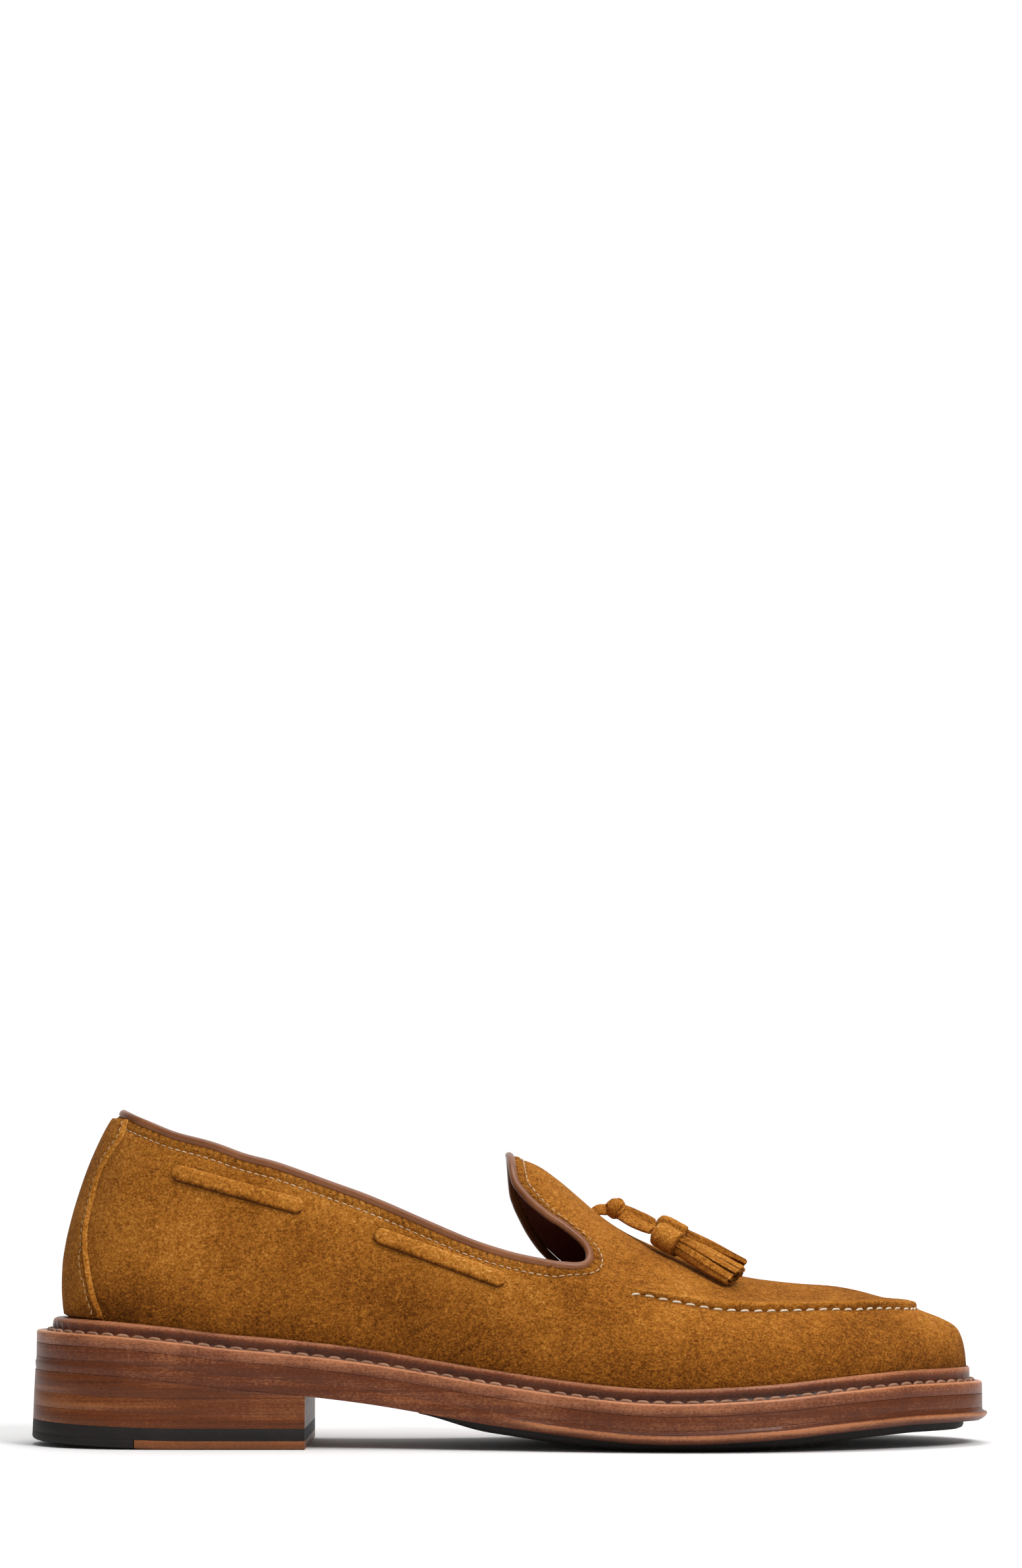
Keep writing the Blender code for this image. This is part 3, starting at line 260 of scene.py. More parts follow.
# Curve of the back of the heel: height above the welt in per cent of UPPER_HEIGHT, then the lean forward in
# per cent of HEEL_LEAN
BACK_CURVE = (
    (0.0, 2.0),
    (7.0, 2.0),
    (12.0, -0.5),
    (21.0, -2.8),
    (30.0, -1.8),
    (39.0, 3.0),
    (50.6, 13.4),
    (63.0, 27.8),
    (74.6, 44.0),
    (83.5, 59.0),
    (95.0, 82.5),
    (100.0, 97.0),
    (140.0, 220.0),
)

# Edge of the opening from the back of the heel to the tongue: per cent of the sole length, then the height
# above the welt in per cent of UPPER_HEIGHT. The last point of the edge lies on the ridge.
OUTER_EDGE = (
    (12.6, 94.1),
    (16.6, 89.9),
    (21.5, 85.6),
    (26.0, 81.7),
    (32.7, 74.2),
    (37.1, 69.3),
    (41.6, 63.9),
    (46.0, 59.1),
    (50.5, 56.0),
    (53.6, 55.3),
    (55.9, 55.6),
    (57.5, 56.8),
    (58.4, 59.3),
    (58.7, 62.8),
    (58.5, 66.5),
    (57.8, 70.6),
    (56.8, 74.1),
    (55.6, 77.6),
    (54.2, 80.9),
    (52.9, 84.7),
    (51.8, 89.1),
    (50.9, 95.0),
)
INNER_EDGE = (
    (12.6, 91.8),
    (16.6, 86.6),
    (21.5, 81.6),
    (26.0, 77.0),
    (32.7, 68.5),
    (37.1, 63.1),
    (41.6, 57.9),
    (46.0, 53.6),
    (49.7, 51.4),
    (52.3, 49.4),
    (54.3, 49.2),
    (55.7, 50.6),
    (56.2, 53.3),
    (56.0, 56.2),
    (55.1, 59.5),
    (53.7, 64.8),
    (52.6, 70.9),
    (51.8, 77.0),
    (51.1, 83.5),
    (50.7, 91.2),
)
TONGUE_TIP = 50.4

# Steps of a smooth curve between two points, and how closely the rows gather at both ends of the crown
CURVE_STEPS = 12
GATHER_STRENGTH = 2.4

# Seam of the apron and, behind its end, the mid line of the quarters: per cent of the sole length, then the
# height above the welt in per cent of UPPER_HEIGHT. It ends on the ridge.
APRON_SEAM = (
    (3.1, 48.0),
    (20.0, 42.0),
    (40.0, 34.0),
    (50.0, 34.0),
    (56.0, 41.0),
    (62.3, 48.0),
    (65.2, 46.4),
    (67.3, 44.6),
    (69.6, 42.6),
    (71.8, 40.7),
    (75.1, 39.1),
    (78.5, 38.2),
    (81.9, 37.0),
    (85.4, 35.6),
    (87.7, 35.1),
    (90.2, 33.9),
    (91.7, 33.3),
)
APRON_TIP = 92.8
APRON_START = 62.3
APRON_FULL = 68.0
APRON_LEAD = 1.2

# Lines of the upper from its foot to the opening: place of the foot, of the crossing of the apron seam (both
# per cent of the sole length), and share of the tongue's edge that is reached in per cent
FRONT_LINES = (
    (54.0, 53.5, 0.0),
    (60.0, 58.5, 4.0),
    (64.0, 62.5, 12.0),
    (70.0, 68.0, 24.0),
    (78.0, 75.0, 40.0),
    (86.0, 82.0, 57.0),
    (92.0, 87.3, 71.0),
    (96.5, 91.0, 84.0),
    (99.0, 92.35, 93.0),
    (100.0, 92.8, 100.0),
)

# Where the lines turn from straight on the last to straight in the plan, in per cent of the length
PLAN_START = 62.0
PLAN_FADE = 14.0

# Front edge of the back stay: per cent of the sole length, then the height above the welt in per cent of
# UPPER_HEIGHT
STAY_EDGE = (
    (8.3, 5.0),
    (7.8, 11.0),
    (7.2, 17.4),
    (6.6, 28.5),
    (6.2, 39.6),
    (6.2, 48.5),
    (6.7, 60.7),
    (7.3, 72.1),
    (8.3, 81.3),
    (9.7, 90.9),
    (10.2, 101.0),
    (10.4, 110.0),
)
STAY_TOP = 101.4

# Parts of the lace that show on the sides: name, then the place and height of the middle of each end, in
# per cent of the sole length and of UPPER_HEIGHT above the welt
SIDE_LACES = (
    ("rear", 15.9, 76.2, 27.8, 67.1),
    ("front", 36.8, 57.8, 48.6, 47.4),
)

# Tassels: name, start of the cap, a point the tassel aims at, and how far its flat side turns sideways.
# Each place over the vamp is in per cent of the sole length and width, then the height above the ridge.
TASSELS = (
    ("outer", (65.0, -7.4, 4.5), (73.6, -19.4, -0.5), -0.5),
    ("inner", (65.4, 11.1, 7.2), (75.5, 18.5, 1.4), 0.35),
)

# Lace from the knot to each cap: name, then the places along its middle
STRANDS = (
    ("outer", ((61.8, 2.3, 4.9), (62.9, -1.1, 4.5), (63.9, -4.6, 4.5), (64.85, -7.1, 4.7))),
    ("inner", ((61.95, 6.8, 6.4), (63.1, 8.1, 7.1), (64.1, 9.6, 7.4), (65.25, 10.8, 7.3))),
)
KNOT_PLACE = (61.1, 4.8, 5.6)
LACE_HOLE = (59.0, 4.8, 3.55)
LACE_FACING = (0.0, -0.8, 0.6)

# Side view of a tassel's cap: shares of CAP_LENGTH and of CAP_RADIUS
CAP_PROFILE = (
    (0.0, 0.25),
    (0.02, 0.62),
    (0.08, 0.86),
    (0.18, 0.97),
    (0.35, 1.0),
    (0.55, 1.01),
    (0.75, 1.0),
    (0.9, 0.99),
    (0.97, 0.96),
    (1.0, 0.9),
    (0.99, 0.8),
    (0.9, 0.7),
)
CAP_SIDES = 48

# Rings of the fringe: number of strips, share of the cap's radius and turn in strips
FRINGE_RINGS = (
    (10, 1.0, 0.0),
    (9, 0.72, 0.5),
    (5, 0.4, 0.2),
)
STRIP_RINGS = 14
STRIP_SIDES = 8

# Leather edges: key, slot, name, dark, middle and light colour, roughness and strength of the streaks
EDGES = (
    ("edge", "sole_leather", "sole_edge", (0.032, 0.007, 0.0015), (0.112, 0.026, 0.006), (0.42, 0.155, 0.060),
     0.42, 0.55),
    ("heel", "heel_leather", "heel_edge", (0.036, 0.008, 0.0015), (0.132, 0.031, 0.005), (0.34, 0.12, 0.035),
     0.46, 1.0),
    ("top", "top_piece_leather", "top_piece_edge", (0.10, 0.03, 0.01), (0.21, 0.065, 0.018),
     (0.36, 0.14, 0.05), 0.5, 0.6),
    ("welt", "welt_leather", "waxed_welt", (0.030, 0.007, 0.002), (0.135, 0.034, 0.010), (0.48, 0.19, 0.085),
     0.4, 0.4),
)

# Smooth leathers: key, slot, name, dark, middle and light colour, roughness
LEATHERS = (
    ("lining", "lining_leather", "dark_lining", (0.06, 0.010, 0.003), (0.13, 0.026, 0.009),
     (0.22, 0.06, 0.025), 0.5),
    ("binding", "binding_leather", "piping_leather", (0.10, 0.030, 0.008), (0.170, 0.056, 0.016),
     (0.26, 0.095, 0.032), 0.36),
)

# Threads: name, slot, dark and light colour
THREADS = (
    ("welt_thread", "welt_leather", (0.10, 0.034, 0.014), (0.40, 0.21, 0.12)),
    ("apron_thread", "snuff_suede", (0.50, 0.38, 0.24), (0.80, 0.70, 0.55)),
    ("collar_thread", "binding_leather", (0.33, 0.18, 0.08), (0.62, 0.44, 0.27)),
    ("stay_thread", "snuff_suede", (0.30, 0.16, 0.05), (0.50, 0.30, 0.13)),
)

# Lights in watts, the camera's place in metres, its lens in millimetres and its tilt in radians
KEY_POWER = 10.5
TOP_POWER = 11.0
ROOM_LIGHT = 0.24
FLOOR_GLOW = 0.8
CAMERA_PLACE = (0.0, -1.25, 0.076)
CAMERA_LENS = 89.8
CAMERA_TILT = math.atan(638 / 5985)


def slopes(xs, ys):
    """Slopes of the monotone cubic through the points, with no overshoot between them."""
    widths = np.diff(xs)
    rates = np.diff(ys) / widths
    inner = np.zeros(len(xs))
    same = rates[:-1] * rates[1:] > 0
    before = 2 * widths[1:] + widths[:-1]
    after = widths[1:] + 2 * widths[:-1]
    safe = np.where(same, rates[:-1], 1.0), np.where(same, rates[1:], 1.0)
    inner[1:-1] = np.where(same, (before + after) / (before / safe[0] + after / safe[1]), 0.0)
    inner[0], inner[-1] = rates[0], rates[-1]
    return inner


def smooth(xs, ys, at):
    """Reads the monotone cubic through (xs, ys) at the given places."""
    xs, ys, at = (np.asarray(values, float) for values in (xs, ys, at))
    rise = slopes(xs, ys)
    at = np.clip(at, xs[0], xs[-1])
    i = np.clip(np.searchsorted(xs, at) - 1, 0, len(xs) - 2)
    width = xs[i + 1] - xs[i]
    t = (at - xs[i]) / width
    start = (1 + 2 * t) * (1 - t) ** 2 * ys[i] + t * (1 - t) ** 2 * width * rise[i]
    end = t * t * (3 - 2 * t) * ys[i + 1] + t * t * (t - 1) * width * rise[i + 1]
    return start + end


def column(table, number):
    """One column of a table."""
    return np.array([row[number] for row in table], float)


def table_curve(table, number, at):
    """Reads one column of a table against its first column."""
    return smooth(column(table, 0), column(table, number), at)


def path_length(points):
    """Running length of a polyline, 0 at its first point."""
    return np.concatenate([[0.0], np.cumsum(np.linalg.norm(np.diff(points, axis=0), axis=1))])


def unit(vectors):
    """The same directions, each with length 1."""
    return vectors / np.linalg.norm(vectors, axis=-1, keepdims=True)


def bell(values, middle, width):
    """Gaussian: 1 at the middle and 1/e at one width away from it."""
    return np.exp(-(((values - middle) / width) ** 2))


def ease(t):
    """0 below 0, 1 above 1, and a smooth step between."""
    t = np.clip(t, 0.0, 1.0)
    return t * t * (3 - 2 * t)


def welt_top(s):
    """Height of the welt's top face at a place along the shoe."""
    share = np.asarray(s, float) / SOLE_LENGTH * 100
    heel = table_curve(SOLE_PROFILE, 1, share) * HEEL_RISE / 100
    toe = table_curve(SOLE_PROFILE, 2, share) * TOE_SPRING / 100
    stack = RUBBER_THICKNESS + OUTSOLE_THICKNESS + MIDSOLE_THICKNESS + WELT_THICKNESS
    return stack + heel + toe


def midsole_top(s):
    return welt_top(s) - WELT_THICKNESS


def outsole_top(s):
    return midsole_top(s) - MIDSOLE_THICKNESS


def outsole_bottom(s):
    return outsole_top(s) - OUTSOLE_THICKNESS


def turn_of(s, low=0.0, high=SOLE_LENGTH):
    """Angle along the outline whose cosine gives the place s, so that both round ends are sampled well."""
    return np.arccos(np.clip(1 - 2 * (np.asarray(s, float) - low) / (high - low), -1.0, 1.0))


def wrapped(angles, values):
    """Repeats a closed table before and after itself, so that its curve closes smoothly."""
    turn = 2 * math.pi
    return (
        np.concatenate([np.array(angles) - turn, angles, np.array(angles) + turn]),
        np.concatenate([values, values, values]),
    )


def cubic(xs, ys, at):
    """Reads the natural cubic spline through (xs, ys)."""
    count, widths = len(xs), np.diff(xs)
    system, right = np.eye(count), np.zeros(count)
    for i in range(1, count - 1):
        system[i, i - 1 : i + 2] = widths[i - 1], 2 * (widths[i - 1] + widths[i]), widths[i]
        right[i] = 6 * ((ys[i + 1] - ys[i]) / widths[i] - (ys[i] - ys[i - 1]) / widths[i - 1])
    bend = np.linalg.solve(system, right)
    i = np.clip(np.searchsorted(xs, at) - 1, 0, count - 2)
    width = widths[i]
    after, before = at - xs[i], xs[i + 1] - at
    curve = (bend[i] * before**3 + bend[i + 1] * after**3) / (6 * width)
    line = (ys[i] / width - bend[i] * width / 6) * before
    return curve + line + (ys[i + 1] / width - bend[i + 1] * width / 6) * after


def place_of(turn):
    """Place along the shoe of an angle round the outline."""
    return SOLE_LENGTH / 2 * (1 - np.cos(np.asarray(turn, float)))


def outline_y(turn):
    """Sideways place of the sole's outline at an angle: outer side up to pi, inner side beyond it."""
    places = turn_of(column(OUTLINE, 0) / 100 * SOLE_LENGTH)
    outer = -column(OUTLINE, 1) * SOLE_WIDTH / 100
    inner = column(OUTLINE, 2) * SOLE_WIDTH / 100
    angles = np.concatenate([[0.0], places, [math.pi], (2 * math.pi - places)[::-1]])
    values = np.concatenate([[0.0], outer, [TOE_POINT * SOLE_WIDTH / 100], inner[::-1]])
    xs, ys = wrapped(angles, values)
    return cubic(xs, ys, np.asarray(turn, float))


def outline(turn, inset=0.0):
    """Point (s, y) of the sole's outline at an angle, moved inwards along its normal."""
    turn = np.asarray(turn, float)
    small = 1e-4

    def at(angle):
        return np.stack([place_of(angle), outline_y(angle)], -1)

    along = unit(at(turn + small) - at(turn - small))
    inwards = np.stack([-along[..., 1], along[..., 0]], -1)
    return at(turn) + inwards * np.asarray(inset, float)[..., None]


def welt_room(turn):
    """Room between the outline and the upper's foot at an angle, read for the outer or the inner side."""
    share = (1 - np.cos(turn)) * 50
    outer, inner = table_curve(WELT_PLAN, 1, share), table_curve(WELT_PLAN, 2, share)
    return np.where(np.asarray(turn) <= math.pi, outer, inner) / 100 * WELT_ROOM


def upper_foot(turn, outwards=0.0):
    """Outline of the upper where it stands on the midsole."""
    return outline(turn, welt_room(turn) - outwards)


FOOT_TURNS = np.linspace(0, math.pi, 241)
FOOT = {-1: upper_foot(FOOT_TURNS), 1: upper_foot(2 * math.pi - FOOT_TURNS)}
FOOT_BACK = float(FOOT[-1][0, 0])
FOOT_FRONT = float(FOOT[-1][-1, 0])


def skirt_top(s):
    """Height at which the straight foot of the upper ends and its curve begins."""
    return welt_top(s) + SKIRT_HEIGHT


def above_welt(s, share):
    return welt_top(s) + share / 100 * UPPER_HEIGHT


def along_last(xi):
    """Angle used to read the last's tables, dense at both ends."""
    return turn_of(xi, FOOT_BACK, FOOT_FRONT)


def foot_width(xi, side):
    """Sideways place of the upper's foot at xi."""
    return np.interp(along_last(xi), along_last(FOOT[side][:, 0]), FOOT[side][:, 1])


def ridge_height(xi):
    """Height of the last's ridge. It comes down to the skirt at the toe."""
    places = np.concatenate([column(RIDGE, 0) / 100 * SOLE_LENGTH, [FOOT_FRONT]])
    heights = np.concatenate([column(RIDGE, 1) / 100 * UPPER_HEIGHT, [SKIRT_HEIGHT]])
    return welt_top(xi) + smooth(along_last(places), heights, along_last(xi))


def over_vamp(places):
    """Points over the vamp, from places given along the shoe, across it and above the ridge."""
    along, across, above = np.array(places, float).reshape(-1, 3).T
    s = along / 100 * SOLE_LENGTH
    return np.column_stack([s, across / 100 * SOLE_WIDTH, ridge_height(s) + above])


def section(xi, number):
    return smooth(column(SECTIONS, 0) / 100 * SOLE_LENGTH, column(SECTIONS, number), xi)


def ridge_side(xi):
    return section(xi, 1) / 100 * SOLE_WIDTH


def fullness(xi, side):
    return np.where(side < 0, section(xi, 2), section(xi, 3))


def lean(xi, z):
    """How far the back of the heel leans towards the toe, fading out along the quarters."""
    share = (z - welt_top(xi)) / UPPER_HEIGHT * 100
    amount = table_curve(BACK_CURVE, 1, share) / 100 * HEEL_LEAN
    return amount * (1 - ease((xi - FOOT_BACK) / LEAN_REACH))


def last_point(xi, theta, side):
    """Point of the last's surface. theta is 0 on the ridge and a right angle at the foot.

    Each section is a superellipse between the foot and the ridge, leaned at the heel, with a belly.
    """
    xi, theta, side = np.broadcast_arrays(
        np.asarray(xi, float), np.asarray(theta, float), np.asarray(side, float)
    )
    power = 2 / fullness(xi, side)
    rise = np.clip(np.cos(theta), 0, 1) ** power
    foot = np.where(side < 0, foot_width(xi, -1), foot_width(xi, 1))
    base = skirt_top(xi)
    z = base + (ridge_height(xi) - base) * rise
    half = np.abs(foot - ridge_side(xi))
    out = half * np.clip(np.sin(theta), 0, 1) ** power
    out = out + section(xi, 4) / 100 * BELLY * np.sin(math.pi * rise) * np.clip(half / 20, 0, 1)
    return np.stack([xi + lean(xi, z), ridge_side(xi) + side * out, z], -1)


def theta_at(xi, z, side):
    """Angle at which the section at xi has the height z."""
    base = skirt_top(xi)
    rise = np.clip((z - base) / (ridge_height(xi) - base), 0, 1)
    return np.arccos(rise ** (fullness(xi, side) / 2))


def on_last(s, z, side):
    """Turns a place seen from the side into (xi, theta) on the last, in damped steps back along the lean."""
    s, z = np.asarray(s, float), np.asarray(z, float)
    xi = s.copy()
    for _ in range(30):
        xi = xi + 0.7 * (s - xi - lean(xi, z))
    xi = np.maximum(xi, FOOT_BACK)
    return xi, theta_at(xi, z, side)


def curve_through(points):
    """A smooth curve through points (Catmull-Rom), in CURVE_STEPS steps from each point to the next."""
    points = np.array(points, float)
    padded = np.vstack([2 * points[0] - points[1], points, 2 * points[-1] - points[-2]])
    t = np.linspace(0, 1, CURVE_STEPS, endpoint=False)[:, None]
    pieces = []
    for a, b, c, d in zip(padded, padded[1:], padded[2:], padded[3:]):
        pieces.append(
            0.5 * (2 * b + (c - a) * t + (2 * a - 5 * b + 4 * c - d) * t**2 + (3 * b - a - 3 * c + d) * t**3)
        )
    return np.vstack(pieces + [points[-1:]])


def edge_curve(side):
    """Edge of the opening on one side, as (xi, theta) from the back of the heel to the tongue's tip."""
    rows = OUTER_EDGE if side < 0 else INNER_EDGE
    s = column(rows, 0) / 100 * SOLE_LENGTH
    xi, theta = on_last(s, above_welt(s, column(rows, 1)), side)
    back_s = FOOT_BACK + HEEL_LEAN
    back = (FOOT_BACK, float(theta_at(FOOT_BACK, above_welt(back_s, 100.0), side)))
    ends = [back] + list(zip(xi, theta)) + [(TONGUE_TIP / 100 * SOLE_LENGTH, 0.0)]
    return curve_through(ends)


def apron_curve(side):
    """Seam of the apron and mid line of the quarters, as (xi, theta) up to the ridge."""
    s = column(APRON_SEAM, 0) / 100 * SOLE_LENGTH
    xi = np.maximum(s, FOOT_BACK)
    theta = theta_at(xi, above_welt(s, column(APRON_SEAM, 1)), side)
    return curve_through(list(zip(xi, theta)) + [(APRON_TIP / 100 * SOLE_LENGTH, 0.0)])


def running(points):
    """Share of a polyline's length reached at each of its points."""
    length = path_length(points)
    return length / length[-1]


def read_curve(curve, reached, share):
    """Points of a polyline at the given lengths or shares of length."""
    return np.stack([np.interp(share, reached, curve[:, k]) for k in range(curve.shape[1])], -1)


def gather(count):
    """Shares from 0 to 1 that lie close together at both ends: two exponential halves."""
    t = np.linspace(0, 1, count)

    def half(x):
        return (np.exp(GATHER_STRENGTH * x) - 1) / (math.exp(GATHER_STRENGTH) - 1)

    return np.where(t < 0.5, 0.5 * half(2 * t), 1 - 0.5 * half(2 * (1 - t)))


def plan_lines(start, end, shares, side):
    """Straight lines in the plan from one (xi, theta) to another, for many lines at once.

    The sideways place and xi are both interpolated, and theta comes back from the section's formula.
    """

    def sideways(point):
        half = np.abs(foot_width(point[:, 0], side) - ridge_side(point[:, 0]))
        return half * np.sin(point[:, 1]) ** (2 / fullness(point[:, 0], side))

    first, last = sideways(start), sideways(end)
    xi = start[:, :1] + (end[:, :1] - start[:, :1]) * shares
    across = first[:, None] + (last - first)[:, None] * shares
    room = np.maximum(np.abs(foot_width(xi, side) - ridge_side(xi)), 1e-6)
    ratio = np.clip(across / room, 0, 1) ** (fullness(xi, side) / 2)
    return np.stack([xi, np.arcsin(np.clip(ratio, 0, 1))], -1)


def blend_lines(start, end, shares, side, plan):
    """Lines that are straight in (xi, theta) on the quarters and straight in the plan in front."""
    direct = start[:, None] + (end - start)[:, None] * shares[..., None]
    return direct * (1 - plan)[:, None, None] + plan_lines(start, end, shares, side) * plan[:, None, None]


def half_upper(side, lines, wall_rows, crown_rows):
    """Grid of (xi, theta) on one side of the upper, with the distance above the apron seam and to the edge.

    Each line starts at the foot, crosses the seam and ends at the opening, as on the solid upper. The last
    value is the strength of the apron's raised edge on each line.
    """
    turns = np.linspace(0, math.pi, lines)
    shares = 50 * (1 - np.cos(turns))
    apron, edge = apron_curve(side), edge_curve(side)
    reached = running(last_point(edge[:, 0], edge[:, 1], side))
    notch = int(np.argmax(edge[:, 0]))
    foot_xi = upper_foot(turns if side < 0 else 2 * math.pi - turns)[:, 0]
    first = FRONT_LINES[0][0]
    table_seam = table_curve(FRONT_LINES, 1, shares) / 100 * SOLE_LENGTH
    table_edge = table_curve(FRONT_LINES, 2, shares) / 100
    bound = np.interp(first / 100 * SOLE_LENGTH, edge[:notch, 0], reached[:notch])
    behind = shares <= first
    seam_xi = np.where(behind, foot_xi, table_seam)
    quarter_edge = np.interp(foot_xi, edge[:notch, 0], reached[:notch])
    at_edge = np.where(behind, quarter_edge, bound + (1 - bound) * table_edge)
    at_edge[0] = 0.0
    foot = np.stack([foot_xi, np.full(lines, math.pi / 2)], -1)
    seam = np.stack([seam_xi, np.interp(seam_xi, apron[:, 0], apron[:, 1])], -1)
    top = read_curve(edge, reached, at_edge)
    plan = ease((shares - PLAN_START) / PLAN_FADE)
    steps = np.linspace(0, 1, wall_rows)
    wall_shares = np.outer(1 - plan, steps) + np.outer(plan, 1 - np.cos(steps * math.pi / 2))
    wall = blend_lines(foot, seam, wall_shares, side, plan)
    crown_shares = np.broadcast_to(gather(crown_rows + 1)[1:], (lines, crown_rows))
    crown = blend_lines(seam, top, crown_shares, side, plan)
    if side < 0:
        bulge = CROWN_BULGE * ease((shares - 66.0) / 10.0) * (1 - ease((shares - 86.0) / 12.0))
        crown[..., 1] -= bulge[:, None] * np.sin(math.pi * crown_shares)
    length, height = (
        np.linalg.norm(last_point(*high.T, side) - last_point(*low.T, side), axis=1)[:, None]
        for high, low in ((top, seam), (seam, foot))
    )
    wall_left = height * (1 - wall_shares)
    above = np.concatenate([-wall_left, length * crown_shares], 1)
    to_edge = np.concatenate([length + wall_left, length * (1 - crown_shares)], 1)
    fade = APRON_FULL - APRON_START - APRON_LEAD
    full = ease((seam_xi / SOLE_LENGTH * 100 - APRON_START + APRON_LEAD) / fade)
    return np.concatenate([wall, crown], 1), above, to_edge, full


def whole_upper(lines, wall_rows, crown_rows):
    """Closed grid round the shoe: outer side from heel to toe, then inner side back to the heel.

    Gives points on the last, outward normals, distances to seam and edge, and the apron's strength.
    """
    sides = []
    for side, keep in ((-1, slice(None)), (1, slice(-2, 0, -1))):
        grid, *values = half_upper(side, lines, wall_rows, crown_rows)
        points = last_point(grid[..., 0], grid[..., 1], side)
        for end in (0, -1):
            points[end, :, 1] = ridge_side(grid[end, :, 0])
        sides.append([part[keep] for part in (points, *values)])
    points, above, to_edge, full = (np.concatenate(pair) for pair in zip(*sides))
    return points, grid_normals(points, True), above, to_edge, full


def grid_normals(points, closed):
    """Outward normals of a grid from the differences between its neighbours along both directions."""
    if closed:
        along = np.roll(points, -1, 0) - np.roll(points, 1, 0)
    else:
        along = np.gradient(points, axis=0)
    up = np.gradient(points, axis=1)
    normal = np.cross(along, up)
    return normal / np.maximum(np.linalg.norm(normal, axis=-1, keepdims=True), 1e-9)


def add_object(name, mesh, finish, angle=40.0):
    """Object at the origin with its finish's material, riding on the shoe's one body."""
    material, slot = finish
    thing = bpy.data.objects.new(name, mesh)
    bpy.context.scene.collection.objects.link(thing)
    mesh.materials.append(material)
    mesh.shade_smooth()
    mesh.set_sharp_from_angle(angle=math.radians(angle))
    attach(thing, "root")
    return thing


def to_metres(points):
    """Shoe millimetres to metres, with the middle of the sole's length at x = 0."""
    return (np.asarray(points, float).reshape(-1, 3) - np.array([SOLE_LENGTH / 2, 0.0, 0.0])) * MM


def build_mesh(name, points, quads, others=(), edge_uv=None, tone=None):
    """Mesh from points in shoe millimetres, quads as an array and a few larger faces.

    Where every edge has two faces, the mesh is closed, and its faces are turned outward.
    """
    points = to_metres(points)
    faces = list(map(tuple, np.asarray(quads).tolist())) + [tuple(face) for face in others]
    mesh = bpy.data.meshes.new(name)
    mesh.from_pydata(points.tolist(), [], faces)
    corners = np.empty(len(mesh.loops), np.int32)
    mesh.loops.foreach_get("vertex_index", corners)
    if edge_uv is not None:
        layer = mesh.uv_layers.new(name="edge")
        layer.data.foreach_set("uv", np.asarray(edge_uv, np.float32).reshape(-1, 2)[corners].ravel())
    if tone is not None:
        shade = mesh.attributes.new("tone", "FLOAT", "POINT")
        shade.data.foreach_set("value", np.asarray(tone, np.float32).ravel())
    if len(mesh.loops) == 2 * len(mesh.edges):
        work = bmesh.new()
        work.from_mesh(mesh)
        bmesh.ops.recalc_face_normals(work, faces=work.faces)
        work.to_mesh(mesh)
        work.free()
    mesh.update()
    return mesh


def grid_quads(rows, columns, close_rows=False, close_columns=False):
    """Corner numbers of every cell of a grid, rows along the first direction."""
    i = np.arange(rows if close_rows else rows - 1)
    j = np.arange(columns if close_columns else columns - 1)
    i, j = (part.ravel() for part in np.meshgrid(i, j, indexing="ij"))
    here, ahead = i * columns, (i + 1) % rows * columns
    beside = (j + 1) % columns
    return np.stack([here + j, ahead + j, ahead + beside, here + beside], 1)


def tubes(count, rings, sides):
    """Quads and end faces of equal tubes whose points follow one another."""
    first = np.arange(count)[:, None, None] * rings * sides
    quads = (grid_quads(rings, sides, False, True) + first).reshape(-1, 4)
    ends = np.array([np.arange(sides)[::-1], (rings - 1) * sides + np.arange(sides)])
    return quads, (ends + first).reshape(-1, sides).tolist()


def solid_skin(thing, thickness):
    """Gives an open sheet its leather's thickness, inwards."""
    wall = thing.modifiers.new("thickness", "SOLIDIFY")
    wall.thickness = thickness * MM
    wall.offset = -1.0
    return thing


def swept(name, middle, across, up, section, finish, closed=False):
    """Solid whose section (shares of across and up) is carried along a path of frames."""
    points = middle[:, None] + across[:, None] * section[None, :, :1] + up[:, None] * section[None, :, 1:]
    count, around = points.shape[:2]
    quads = grid_quads(count, around, closed, True)
    ends = [] if closed else [range(around)[::-1], range((count - 1) * around, count * around)]
    round_it = np.linspace(0, 6, around)
    uv = np.stack(np.broadcast_arrays(path_length(middle)[:, None], round_it[None]), -1) / 100
    mesh = build_mesh(name, points, quads, ends, edge_uv=uv)
    return add_object(name, mesh, finish)


def round_section(radius, sides, flat, power):
    """Closed superellipse as (across, up) pairs, flat times as high as it is wide."""
    turns = np.linspace(0, 2 * math.pi, sides, endpoint=False)
    cos, sin = np.cos(turns), np.sin(turns)
    across = np.sign(cos) * np.abs(cos) ** (2 / power)
    up = np.sign(sin) * np.abs(sin) ** (2 / power)
    return np.stack([radius * across, radius * flat * up], -1)


